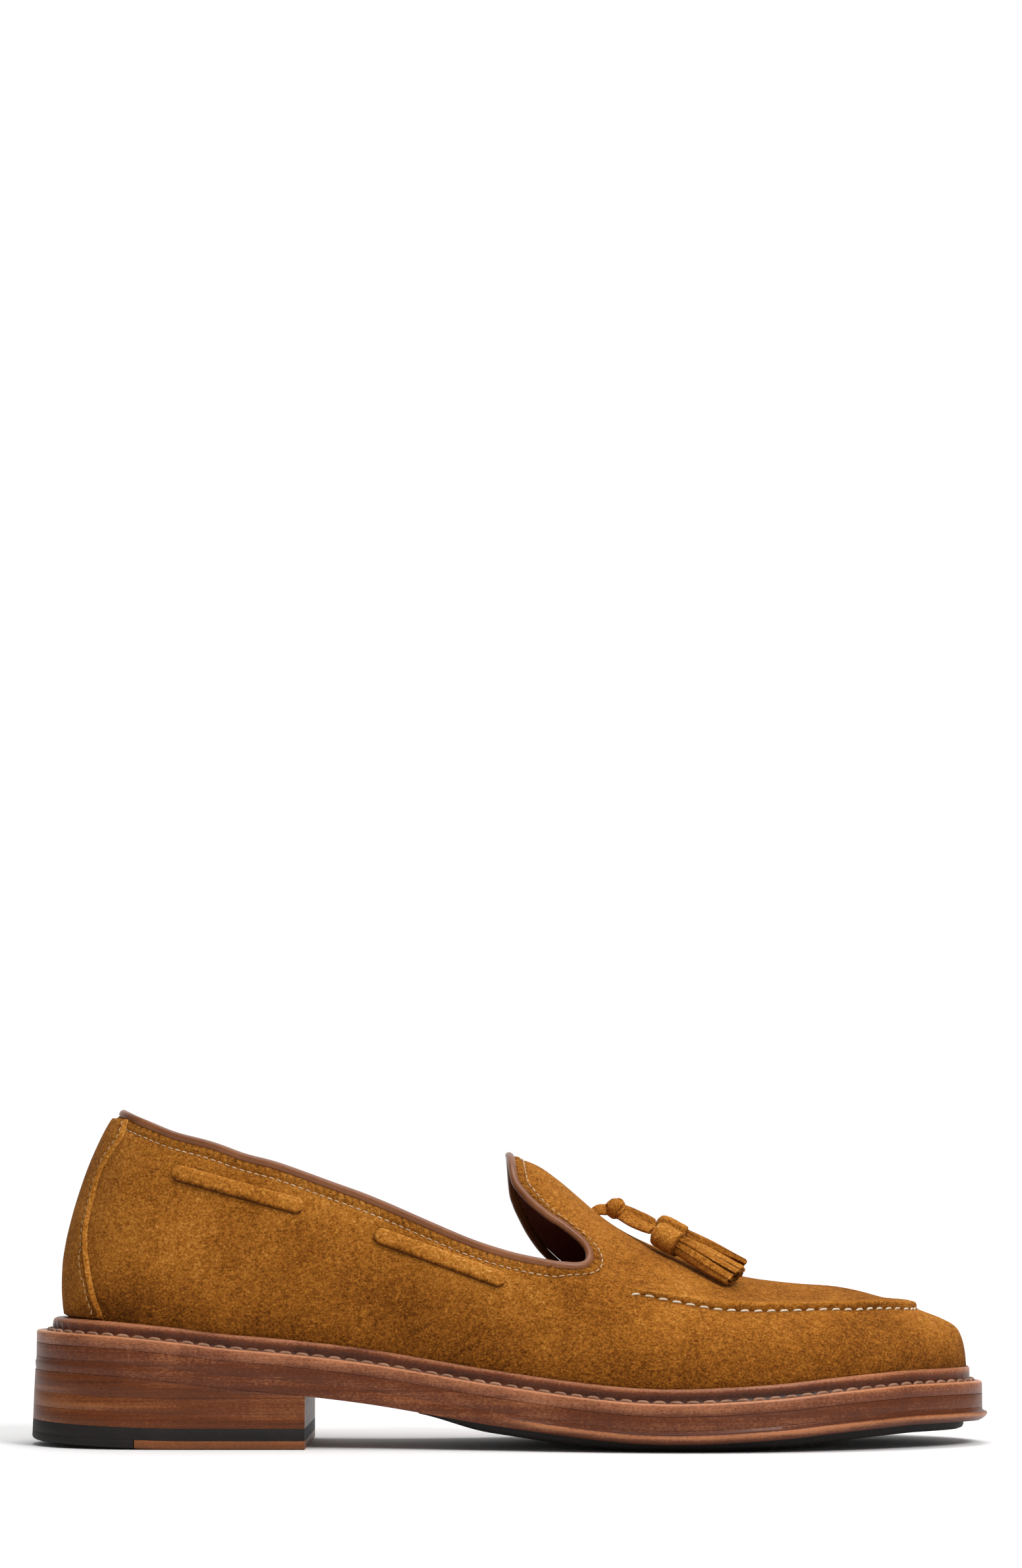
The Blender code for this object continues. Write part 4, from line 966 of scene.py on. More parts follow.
def stitch_row(name, places, length, radius, finish, sink=0.1, lean_by=0.0):
    """Row of stitches: each a short thread, thick in its middle, whose ends dive under the surface."""
    centre, along, up = places
    if lean_by:
        along = unit(along + np.cross(up, along) * lean_by)
    across = np.cross(up, along)
    stations = np.linspace(-1, 1, STITCH_RINGS)
    turns = np.linspace(0, 2 * math.pi, STITCH_SIDES, endpoint=False)
    thick = radius * np.sqrt(np.clip(1 - (0.9 * stations) ** 4, 0.05, 1))
    rise = radius * (0.75 - sink) - radius * 1.5 * stations**4
    x = np.broadcast_to((stations * length / 2)[:, None], (STITCH_RINGS, STITCH_SIDES))
    y = thick[:, None] * np.cos(turns)
    z = thick[:, None] * np.sin(turns) + rise[:, None]
    points = (
        centre[:, None, None]
        + along[:, None, None] * x[None, ..., None]
        + across[:, None, None] * y[None, ..., None]
        + up[:, None, None] * z[None, ..., None]
    )
    mesh = build_mesh(name, points, *tubes(len(centre), STITCH_RINGS, STITCH_SIDES))
    return add_object(name, mesh, finish, 60.0)


def spaced(path, normals, pitch):
    """Evenly spaced points on a path, with the path's direction and the surface's normal there."""
    length = path_length(path)
    places = np.arange(pitch / 2, length[-1], pitch)
    along = unit(read_curve(path, length, places + 0.4) - read_curve(path, length, places - 0.4))
    up = read_curve(normals, length, places)
    up -= along * np.sum(along * up, 1, keepdims=True)
    return read_curve(path, length, places), along, unit(up)


# Finishes


class Finish:
    """A Principled material with short ways to add procedural nodes."""

    def __init__(self, name, colour, roughness):
        self.material = bpy.data.materials.new(name)
        self.material.use_nodes = True
        self.nodes = self.material.node_tree.nodes
        self.links = self.material.node_tree.links
        self.shader = self.nodes["Principled BSDF"]
        self.shader.inputs["Base Color"].default_value = (*colour, 1)
        self.shader.inputs["Roughness"].default_value = roughness
        self.material.diffuse_color = (*colour, 1)
        self.object_space = self.nodes.new("ShaderNodeTexCoord").outputs["Object"]

    def socket(self, name, value):
        self.shader.inputs[name].default_value = value

    def link(self, output, name):
        self.links.new(output, self.shader.inputs[name])

    def scaled(self, vector, scale):
        """Stretches or squeezes a coordinate."""
        mapping = self.nodes.new("ShaderNodeMapping")
        mapping.inputs["Scale"].default_value = scale
        self.links.new(vector, mapping.inputs["Vector"])
        return mapping.outputs["Vector"]

    def edge_space(self):
        """Coordinates along and up the sole's edge, in units of 100 mm."""
        uv = self.nodes.new("ShaderNodeUVMap")
        uv.uv_map = "edge"
        return uv.outputs["UV"]

    def tone(self):
        """Lightness set per point of the surface: the material's own tone changes together with painted shade
        and painted highlights.
        """
        node = self.nodes.new("ShaderNodeAttribute")
        node.attribute_name = "tone"
        return node.outputs["Fac"]

    def noise(self, vector, scale, detail, roughness, distortion=0.0):
        node = self.nodes.new("ShaderNodeTexNoise")
        values = {"Scale": scale, "Detail": detail, "Roughness": roughness, "Distortion": distortion}
        for name, value in values.items():
            node.inputs[name].default_value = value
        self.links.new(vector, node.inputs["Vector"])
        return node.outputs["Fac"]

    def grain(self, vector, scale):
        """Distance to the edge of the nearest grain cell."""
        node = self.nodes.new("ShaderNodeTexVoronoi")
        node.feature = "DISTANCE_TO_EDGE"
        node.inputs["Scale"].default_value = scale
        self.links.new(vector, node.inputs["Vector"])
        return node.outputs["Distance"]

    def math(self, kind, first, second):
        node = self.nodes.new("ShaderNodeMath")
        node.operation = kind
        for number, value in enumerate((first, second)):
            if isinstance(value, (int, float)):
                node.inputs[number].default_value = value
            else:
                self.links.new(value, node.inputs[number])
        return node.outputs[0]

    def weighted(self, parts):
        """Sum of weight times (value - 0.5), around 0.5."""
        total = 0.5
        for value, weight in parts:
            spread = self.math("MULTIPLY", self.math("SUBTRACT", value, 0.5), weight)
            total = self.math("ADD", spread, total)
        return total

    def colours(self, value, stops):
        """Colour ramp through (place, colour) stops."""
        node = self.nodes.new("ShaderNodeValToRGB")
        ramp = node.color_ramp
        while len(ramp.elements) < len(stops):
            ramp.elements.new(0.5)
        for element, (place, colour) in zip(ramp.elements, stops):
            element.position = place
            element.color = (*colour, 1)
        self.links.new(value, node.inputs["Fac"])
        return node.outputs["Color"]

    def drifting_roughness(self, value, spread, base):
        """Roughness that changes with a value."""
        self.link(self.math("ADD", self.math("MULTIPLY", value, spread), base), "Roughness")

    def bump(self, height, distance, under=None):
        """Adds relief on top of the relief under it. distance is the relief's depth in millimetres."""
        node = self.nodes.new("ShaderNodeBump")
        node.inputs["Distance"].default_value = distance * MM
        node.inputs["Strength"].default_value = 1.0
        self.links.new(height, node.inputs["Height"])
        if under is not None:
            self.links.new(under, node.inputs["Normal"])
        self.links.new(node.outputs["Normal"], self.shader.inputs["Normal"])
        return node.outputs["Normal"]


def suede_finish(name, depth=1.0, collar=False):
    """Napped suede: short fibres that catch the light, brushed patches, no gloss, a faint golden sheen.

    collar adds the puffed band under the piping, pinched at each stitch: a sine along the edge.
    """
    made = Finish(name, (0.31, 0.108, 0.0125), 1.0)
    space = made.object_space
    slanted = made.scaled(space, (1.0, 1.0, 1.35))
    fibres = made.noise(space, 1900, 2.0, 0.6)
    nap = made.noise(slanted, 1050, 3.0, 0.75, 0.5)
    tufts = made.noise(slanted, 420, 2.0, 0.6, 0.4)
    clouds = made.noise(space, 34, 3.0, 0.55, 0.5)
    value = made.weighted(((fibres, 0.75), (nap, 1.2), (tufts, 0.4), (clouds, 0.5)))
    value = made.math("ADD", value, made.tone())
    colour = made.colours(
        value,
        (
            (0.0, (0.060, 0.017, 0.0015)),
            (0.3, (0.190, 0.060, 0.0065)),
            (0.5, (0.325, 0.113, 0.0135)),
            (0.7, (0.460, 0.180, 0.0270)),
            (1.0, (0.760, 0.400, 0.1100)),
        ),
    )
    made.link(colour, "Base Color")
    made.socket("Sheen Weight", 0.05)
    made.socket("Sheen Roughness", 0.5)
    made.socket("Sheen Tint", (1.0, 0.65, 0.3, 1.0))
    made.socket("Specular IOR Level", 0.06)
    under = None
    if collar:
        parts = made.nodes.new("ShaderNodeSeparateXYZ")
        made.links.new(made.edge_space(), parts.inputs["Vector"])
        beat = made.math("MULTIPLY", parts.outputs["X"], 100 * math.pi / COLLAR_STITCH_PITCH)
        wave = made.math("SINE", beat, 0.0)
        puffs = made.math("POWER", made.math("ABSOLUTE", wave, 0.0), 0.6)
        black, white = (0.0, 0.0, 0.0), (1.0, 1.0, 1.0)
        band = made.colours(parts.outputs["Y"], ((0.004, white), (COLLAR_STITCH_DOWN / 100, black)))
        under = made.bump(made.math("MULTIPLY", puffs, band), 0.9)
    first = made.bump(tufts, 0.34 * depth, under)
    second = made.bump(nap, 0.55 * depth, first)
    made.bump(fibres, 0.26 * depth, second)
    return made.material


def edge_finish(name, dark, middle, light, roughness, streak):
    """Stained, burnished leather edge: broad bands of its layers, thin streaks, grain and a waxed shine."""
    made = Finish(name, middle, roughness)
    space = made.edge_space()
    bands = made.noise(made.scaled(space, (0.9, 21.0, 1.0)), 1.0, 2.0, 0.5, 0.15)
    streaks = made.noise(made.scaled(space, (2.2, 120.0, 1.0)), 1.0, 3.0, 0.6, 0.1)
    grain = made.noise(made.scaled(space, (95.0, 230.0, 1.0)), 1.0, 3.0, 0.65)
    blotches = made.noise(made.object_space, 60, 3.0, 0.6, 0.5)
    pores = made.noise(made.object_space, 950, 3.0, 0.7)
    parts = ((bands, 1.1 * streak), (streaks, 0.55 * streak), (grain, 0.6), (blotches, 0.4), (pores, 0.35))
    value = made.math("ADD", made.weighted(parts), made.tone())
    made.link(made.colours(value, ((0.08, dark), (0.5, middle), (0.95, light))), "Base Color")
    made.drifting_roughness(grain, 0.35, roughness - 0.17)
    made.socket("Specular IOR Level", 0.22)
    made.socket("Coat Weight", 0.08)
    made.socket("Coat Roughness", 0.25)
    first = made.bump(bands, 0.25 * streak)
    second = made.bump(streaks, 0.12 * streak, first)
    made.bump(grain, 0.12, second)
    return made.material


def smooth_leather(name, dark, middle, light, roughness):
    """Smooth calf leather: fine grain cells, slight colour drift and a soft shine."""
    made = Finish(name, middle, roughness)
    cells = made.grain(made.object_space, 900)
    drift = made.noise(made.object_space, 70, 3.0, 0.6)
    fine = made.noise(made.object_space, 1700, 2.0, 0.6)
    value = made.weighted(((drift, 0.9), (fine, 0.3)))
    made.link(made.colours(value, ((0.15, dark), (0.5, middle), (0.85, light))), "Base Color")
    made.drifting_roughness(drift, 0.2, roughness - 0.1)
    made.socket("Specular IOR Level", 0.3)
    made.socket("Coat Weight", 0.05)
    made.socket("Coat Roughness", 0.3)
    first = made.bump(cells, 0.05)
    made.bump(fine, 0.03, first)
    return made.material


def thread_finish(name, dark, light):
    """Waxed thread: tone changes along the row and fine twisted fibres."""
    made = Finish(name, light, 0.6)
    drift = made.noise(made.object_space, 160, 2.0, 0.5)
    fibres = made.noise(made.object_space, 2600, 2.0, 0.6)
    value = made.weighted(((drift, 0.9), (fibres, 0.5)))
    made.link(made.colours(value, ((0.2, dark), (0.75, light))), "Base Color")
    made.bump(fibres, 0.06)
    return made.material


def rubber_finish(name, colour):
    """Matt black rubber with a faint moulded pebble and dusty patches."""
    made = Finish(name, colour, 0.62)
    pebble = made.noise(made.object_space, 900, 3.0, 0.6)
    dust = made.noise(made.object_space, 60, 3.0, 0.6)
    value = made.weighted(((dust, 0.8), (pebble, 0.3)))
    dark = tuple(c * 0.7 for c in colour)
    light = tuple(c * 1.6 for c in colour)
    made.link(made.colours(value, ((0.2, dark), (0.8, light))), "Base Color")
    made.drifting_roughness(dust, 0.25, 0.5)
    made.socket("Specular IOR Level", 0.2)
    made.bump(pebble, 0.06)
    return made.material


# Pieces of the sole


def layer(name, node, places, rows, finish, tone=0.0, fade=np.ones_like):
    """A layer of the sole or heel that follows the outline between places along the shoe.

    rows run from the bottom of its side to the top, each (inset of the angle, height at s). The top and
    the bottom run straight across from the outer to the inner side. tone is one value or one per row,
    and fade says where round the outline it counts.
    """
    places = np.asarray(places, float)
    turns = turn_of(places)
    levels = []
    for inset, height in rows:
        for side_turns in (turns, 2 * math.pi - turns):
            flat = outline(side_turns, inset(side_turns))
            levels.append(np.column_stack([flat, height(flat[:, 0])]))
    points = np.array(levels).reshape(len(rows), 2, len(places), 3)
    ring = np.concatenate([points[:, 0], points[:, 1, ::-1]], 1)
    tips = [np.allclose(points[:, 0, end], points[:, 1, end], atol=1e-6) for end in (0, -1)]
    around = ring.shape[1]
    grid = ring.transpose(1, 0, 2)
    quads = grid_quads(around, len(rows), True)[:, ::-1]
    i = np.arange(len(places) - 1)
    mirror = around - 1 - i
    low = np.stack([i, i + 1, mirror - 1, mirror], 1) * len(rows)
    high = low[:, ::-1] + len(rows) - 1
    faces = np.concatenate([quads, low[:, ::-1], high[:, ::-1]])
    length = path_length(ring[len(rows) // 2])
    uv = np.stack([np.broadcast_to(length[:, None], grid.shape[:2]), grid[..., 2]], -1) / 100
    strength = fade(np.concatenate([turns, turns[::-1]]))[:, None]
    tones = strength * np.broadcast_to(tone, grid.shape[:2])
    mesh = build_mesh(name, grid, faces, edge_uv=uv, tone=tones)
    work = bmesh.new()
    work.from_mesh(mesh)
    if any(tips):
        bmesh.ops.remove_doubles(work, verts=work.verts, dist=1e-7)
    bmesh.ops.dissolve_degenerate(work, edges=work.edges, dist=1e-7)
    bmesh.ops.recalc_face_normals(work, faces=work.faces)
    work.to_mesh(mesh)
    work.free()
    thing = add_object(name, mesh, finish, 50.0)
    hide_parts(node)
    return thing


def places_between(start, end, count):
    """Places along the sole from start to end, closer together at its two round ends."""
    return place_of(np.linspace(float(turn_of(start)), float(turn_of(end)), count))


def forepart(turn):
    """0 on heel and waist, 1 where the edge of the sole has its lip."""
    return ease((place_of(turn) - LIP_START) / LIP_FADE)


def edge_inset(turn):
    return HEEL_FLARE + (EDGE_INSET - HEEL_FLARE) * forepart(turn)


def lip_inset(turn):
    return edge_inset(turn) * (1 - forepart(turn)) * 0.7


def shifted(height, by):
    return lambda s: height(s) + by


def inset_by(inset, by):
    return lambda turn: inset(turn) + by


def even(amount):
    return lambda turn: amount + 0 * turn


def rounded_rows(inset, low, high, low_round, high_round):
    """Side of a layer with a small round-over at its lower and upper edge."""
    return (
        (inset_by(inset, low_round), low),
        (inset_by(inset, low_round * 0.3), shifted(low, low_round * 0.3)),
        (inset, shifted(low, low_round)),
        (inset, shifted(high, -high_round)),
        (inset_by(inset, high_round * 0.3), shifted(high, -high_round * 0.3)),
        (inset_by(inset, high_round), high),
    )


def make_sole(finishes):
    """Outsole with its lip, midsole, heel layers, rubber and insole, on the solids' own places."""
    whole = places_between(0.0, SOLE_LENGTH, 181)

    def bevelled(room, share):
        return lambda turn: lip_inset(turn) + room + LIP_BEVEL * share * forepart(turn)

    def below_edge(turn):
        return lip_inset(turn) + (edge_inset(turn) - lip_inset(turn)) * 0.65

    rows = (
        (bevelled(0.3, 1.0), outsole_bottom),
        (bevelled(0.15, 0.55), shifted(outsole_bottom, 0.7)),
        (bevelled(0.05, 0.2), shifted(outsole_bottom, 1.5)),
        (lip_inset, shifted(outsole_bottom, 2.1)),
        (lip_inset, shifted(outsole_bottom, LIP_HEIGHT - 0.15)),
        (inset_by(lip_inset, 0.12), shifted(outsole_bottom, LIP_HEIGHT + 0.1)),
        (below_edge, shifted(outsole_bottom, LIP_HEIGHT + 0.35)),
        (edge_inset, shifted(outsole_bottom, LIP_HEIGHT + 0.8)),
        (edge_inset, shifted(outsole_top, -SEAM - 0.06)),
        (inset_by(edge_inset, 0.06), shifted(outsole_top, -SEAM)),
    )
    # Tone per row of the outsole's forepart edge: the lip's rows are lighter as a painted highlight, and the
    # bevel under the lip and the hollow above it are darker as painted shade.
    tones = (-0.2, -0.05, 0.2, 0.42, 0.36, 0.1, -0.2, -0.1, -0.05, -0.1)
    layer("outsole_leather", "outsole", whole, rows, finishes["edge"], tones, forepart)
    rows = rounded_rows(edge_inset, outsole_top, shifted(midsole_top, -SEAM), 0.06, 0.06)
    layer("midsole_leather", "midsole", whole, rows, finishes["edge"], -0.02)

    def feather(s):
        return ease((np.asarray(s, float) - RUBBER_START) / RUBBER_FEATHER)

    def bottom(s):
        lifted = outsole_bottom(s) - RUBBER_THICKNESS - BALL_FLAT_DEPTH
        thin = outsole_bottom(s) - GAP - RUBBER_THIN_EDGE
        return np.maximum(thin + (lifted - thin) * feather(s), 0.0)

    def low_side(up, under):
        return lambda s: np.minimum(bottom(s) + up, outsole_bottom(s) - SEAM - under)

    front = places_between(RUBBER_START, SOLE_LENGTH, 150)
    rows = (
        (even(RUBBER_INSET + 1.6), bottom),
        (even(RUBBER_INSET + 0.5), low_side(0.4, 0.1)),
        (even(RUBBER_INSET), low_side(1.2, 0.05)),
        (even(RUBBER_INSET), shifted(outsole_bottom, -SEAM)),
    )
    layer("forepart_half_sole", "forepart_rubber", front, rows, finishes["rubber"])
    make_heel(finishes)
    inside = inset_by(welt_room, WALL + INSOLE_GAP)
    top = shifted(midsole_top, INSOLE_THICKNESS)
    rows = rounded_rows(inside, midsole_top, top, 0.2, 0.8)
    layer("insole_sock", "insole", whole[4:-4], rows, finishes["lining"])


def heel_back_rise(s):
    """The heel's layers turn up a little behind the flat part that stands on the floor."""
    flat_start = HEEL_LENGTH - HEEL_FLAT_LENGTH
    return HEEL_BACK_RISE * np.clip((flat_start - np.asarray(s, float)) / flat_start, 0, 1) ** 1.4


def heel_inset(height):
    """The heel widens slightly from the sole down to the floor."""
    return HEEL_FLARE * min(height / float(outsole_bottom(0.0)), 1.0) * 0.7


def make_heel(finishes):
    """Top piece, rubber lift, leather lifts and wedge, each with its own rounded edge."""
    heel_places = places_between(0.0, HEEL_LENGTH, 90)
    rear_places = places_between(0.0, TOP_PIECE_SEAM - GAP / 2, 60)
    front_places = places_between(TOP_PIECE_SEAM + GAP / 2, HEEL_LENGTH, 50)
    breast = float(outsole_bottom(HEEL_LENGTH))
    lift = (breast - WEDGE_FRONT_EDGE - TOP_PIECE_THICKNESS - RUBBER_LIFT_THICKNESS) / LIFT_COUNT

    def level(height):
        return lambda s: height + heel_back_rise(s)

    def stacked(name, node, places, low, high, finish, rounding=0.05, tone=0.0):
        low_inset, high_inset = heel_inset(low), heel_inset(high)
        rows = (
            (even(low_inset + rounding), level(low)),
            (even(low_inset + rounding * 0.3), level(low + rounding * 0.35)),
            (even(low_inset), level(low + rounding)),
            (even(high_inset), level(high - SEAM - 0.05)),
            (even(high_inset + 0.05), level(high - SEAM)),
        )
        layer(name, node, places, rows, finishes[finish], tone)

    thick = TOP_PIECE_THICKNESS
    stacked("top_piece_rear", "top_piece_rubber", rear_places, 0, thick, "rubber", HEEL_ROUND)
    stacked("top_piece_front", "top_piece_leather", front_places, 0, thick, "top", HEEL_ROUND)
    height = thick + RUBBER_LIFT_THICKNESS
    stacked("heel_rubber_layer", "heel_rubber_lift", heel_places, thick, height, "rubber")
    for number in range(LIFT_COUNT):
        title = f"heel_lift_{number + 1}"
        tone = (0.0, 0.07)[number % 2]
        stacked(title + "_leather", title, heel_places, height, height + lift, "heel", tone=tone)
        height += lift
    low_inset, high_inset = heel_inset(height), heel_inset(float(outsole_bottom(0.0)))
    rows = (
        (even(low_inset + 0.05), level(height)),
        (even(low_inset), lambda s: np.minimum(level(height + 0.05)(s), outsole_bottom(s) - SEAM - 0.1)),
        (even(high_inset), shifted(outsole_bottom, -SEAM - 0.05)),
        (even(high_inset + 0.05), shifted(outsole_bottom, -SEAM)),
    )
    layer("heel_wedge_leather", "heel_wedge", heel_places, rows, finishes["heel"], -0.04)


def make_welt(finishes):
    """Welt: flat top with a stitch channel, and the raised rim against the upper, pinched by the stitches."""
    count = 1100
    turns = np.linspace(0, 2 * math.pi, count, endpoint=False)
    rim = table_curve(WELT_PLAN, 3, 50 * (1 - np.cos(turns))) / 100 * RIM_WIDTH
    edge = edge_inset(turns)
    length = path_length(outline(turns))
    pitch = length[-1] / round(length[-1] / WELT_STITCH_PITCH)
    scallop = 0.5 + 0.5 * np.cos(2 * math.pi * length / pitch)
    line = GAP + rim * 1.15 + STITCH_FROM_RIM
    rows = [
        (outline(turns, edge + 0.2), -WELT_THICKNESS),
        (outline(turns, edge), -WELT_THICKNESS + 0.2),
        (outline(turns, edge), -WELT_ROUND),
        (outline(turns, edge + WELT_ROUND * 0.3), -WELT_ROUND * 0.3),
        (outline(turns, edge + WELT_ROUND), 0.0),
        (upper_foot(turns, line + 0.9), 0.0),
        (upper_foot(turns, line + 0.55), -0.12),
        (upper_foot(turns, line), -CHANNEL_DEPTH),
        (upper_foot(turns, line - 0.55), -0.12),
        (upper_foot(turns, GAP + rim * 1.15), 0.25 + 0.25 * scallop),
        (upper_foot(turns, GAP + rim * (0.92 + 0.16 * scallop)), 0.22 * RIM_HEIGHT),
        (upper_foot(turns, GAP + rim * (1.0 + 0.08 * scallop)), 0.45 * RIM_HEIGHT),
        (upper_foot(turns, GAP + rim * 1.04), 0.68 * RIM_HEIGHT),
        (upper_foot(turns, GAP + rim * 0.98), 0.84 * RIM_HEIGHT),
        (upper_foot(turns, GAP + rim * 0.72), 0.96 * RIM_HEIGHT),
        (upper_foot(turns, GAP + rim * 0.35), RIM_HEIGHT),
        (upper_foot(turns, GAP), 0.94 * RIM_HEIGHT),
        (upper_foot(turns, GAP), -WELT_THICKNESS),
    ]
    grid = np.stack([np.column_stack([flat, welt_top(flat[:, 0]) + up]) for flat, up in rows], 1)
    # Painted light on the welt: the rounded top of its outer edge and the top of the rim are lighter as
    # painted highlights; the stitch channel, the foot of the rim between the stitches and the rim's lower
    # outer face are darker as painted shade.
    tone = np.zeros(grid.shape[:2])
    tone[:, 2] = 0.2
    tone[:, 3:5] = 0.5
    tone[:, 5] = 0.1
    tone[:, 7] = -0.4
    tone[:, 9] = -0.4 + 0.2 * scallop
    tone[:, 10:12] = -0.25
    tone[:, 13:16] = 0.2
    uv = np.stack([np.broadcast_to(length[:, None], grid.shape[:2]), grid[..., 2]], -1) / 100
    quads = grid_quads(count, len(rows), True, True)[:, ::-1]
    mesh = build_mesh("welt_strip", grid, quads, edge_uv=uv, tone=tone)
    welt = add_object("welt_strip", mesh, finishes["welt"], 60.0)
    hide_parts("welt")
    path = grid[:, 7] + (0.0, 0.0, CHANNEL_DEPTH)
    closed = np.concatenate([path, path[:1]])
    up = np.broadcast_to(np.array([0.0, 0.0, 1.0]), closed.shape)
    around = np.linalg.norm(np.diff(closed, axis=0), axis=1).sum()
    places = spaced(closed, up, pitch * around / length[-1])
    stitch_row("welt_stitches", places, *WELT_STITCH, finishes["welt_thread"], sink=0.35)


# The upper

# Dents and swellings of the leather in the side view: place s and z, angle, reach along and across, height
DENTS = (
    (186.0, 56.0, -58.0, 9.0, 4.5, -0.55),
    (197.0, 52.0, -40.0, 12.0, 4.0, 0.4),
    (214.0, 36.0, -15.0, 18.0, 5.0, -0.35),
    (160.0, 40.0, -50.0, 16.0, 7.0, -0.5),
    (132.0, 46.0, -62.0, 15.0, 8.0, 0.45),
    (112.0, 44.0, -66.0, 14.0, 7.0, -0.45),
    (88.0, 56.0, -70.0, 16.0, 9.0, 0.4),
    (60.0, 58.0, -75.0, 18.0, 9.0, -0.4),
    (40.0, 60.0, 80.0, 16.0, 6.0, 0.35),
    (236.0, 34.0, -8.0, 20.0, 4.5, 0.35),
    (262.0, 36.0, 10.0, 14.0, 5.0, -0.3),
)

# Patches brushed lighter or darker: the same columns, with the change of tone last
BRUSHED = (
    (46.0, 60.0, 30.0, 14.0, 10.0, 0.09),
    (70.0, 50.0, 15.0, 26.0, 9.0, 0.06),
    (92.0, 63.0, -20.0, 22.0, 9.0, -0.09),
    (30.0, 44.0, 80.0, 12.0, 10.0, -0.08),
    (118.0, 46.0, -10.0, 26.0, 8.0, -0.07),
    (146.0, 48.0, -35.0, 13.0, 7.0, 0.07),
    (172.0, 47.0, -55.0, 12.0, 6.0, -0.09),
    (190.0, 62.0, -30.0, 12.0, 7.0, -0.06),
    (207.0, 45.0, -25.0, 18.0, 6.0, 0.06),
    (240.0, 38.0, -5.0, 20.0, 7.0, 0.09),
    (258.0, 49.0, -5.0, 18.0, 4.0, -0.07),
    (283.0, 36.0, -25.0, 12.0, 7.0, 0.13),
)


def spots(table, points):
    """Soft spots given in the side view: a Gaussian along and across each one.

    Each row gives the place s and z, the angle, the reach along and across, and the strength.
    """
    total = np.zeros(points.shape[:-1])
    for s, z, angle, long_by, wide_by, strength in table:
        cos, sin = math.cos(math.radians(angle)), math.sin(math.radians(angle))
        away_s, away_z = points[..., 0] - s, points[..., 2] - z
        along, across = away_s * cos + away_z * sin, -away_s * sin + away_z * cos
        total += strength * np.exp(-((along / long_by) ** 2) - (across / wide_by) ** 2)
    return total


def ridge_profile(above):
    """Raised edge of the apron: a quarter round up from the seam, then a slow fall to the vamp."""
    roll = np.clip(above / APRON_ROLL, 0, 1)
    rise = np.sqrt(np.clip(1 - (1 - roll) ** 2, 0, 1))
    fall = np.exp(-((np.clip(above - APRON_ROLL, 0, None) / (APRON_FADE * 0.62)) ** 1.6))
    return np.where(above > 0, rise * fall, 0.0)


def wobble(points):
    """Slight unevenness of soft leather: slow waves multiplied together, and a quicker one added."""
    x, y, z = points[..., 0], points[..., 1], points[..., 2]
    slow = 0.10 * np.sin(x / 7.3 + 1.7 * np.sin(z / 9.1)) * np.sin(z / 6.1 + y / 11.0)
    quick = 0.06 * np.sin(x / 3.1 + z / 2.7 + 2.0 * np.sin(y / 8.0))
    return slow + quick


def with_foot(points):
    """Adds a first row to a grid of the upper, straight down on the midsole."""
    foot = points[:, :1].copy()
    foot[..., 2] = midsole_top(foot[..., 0])
    return np.concatenate([foot, points], 1)


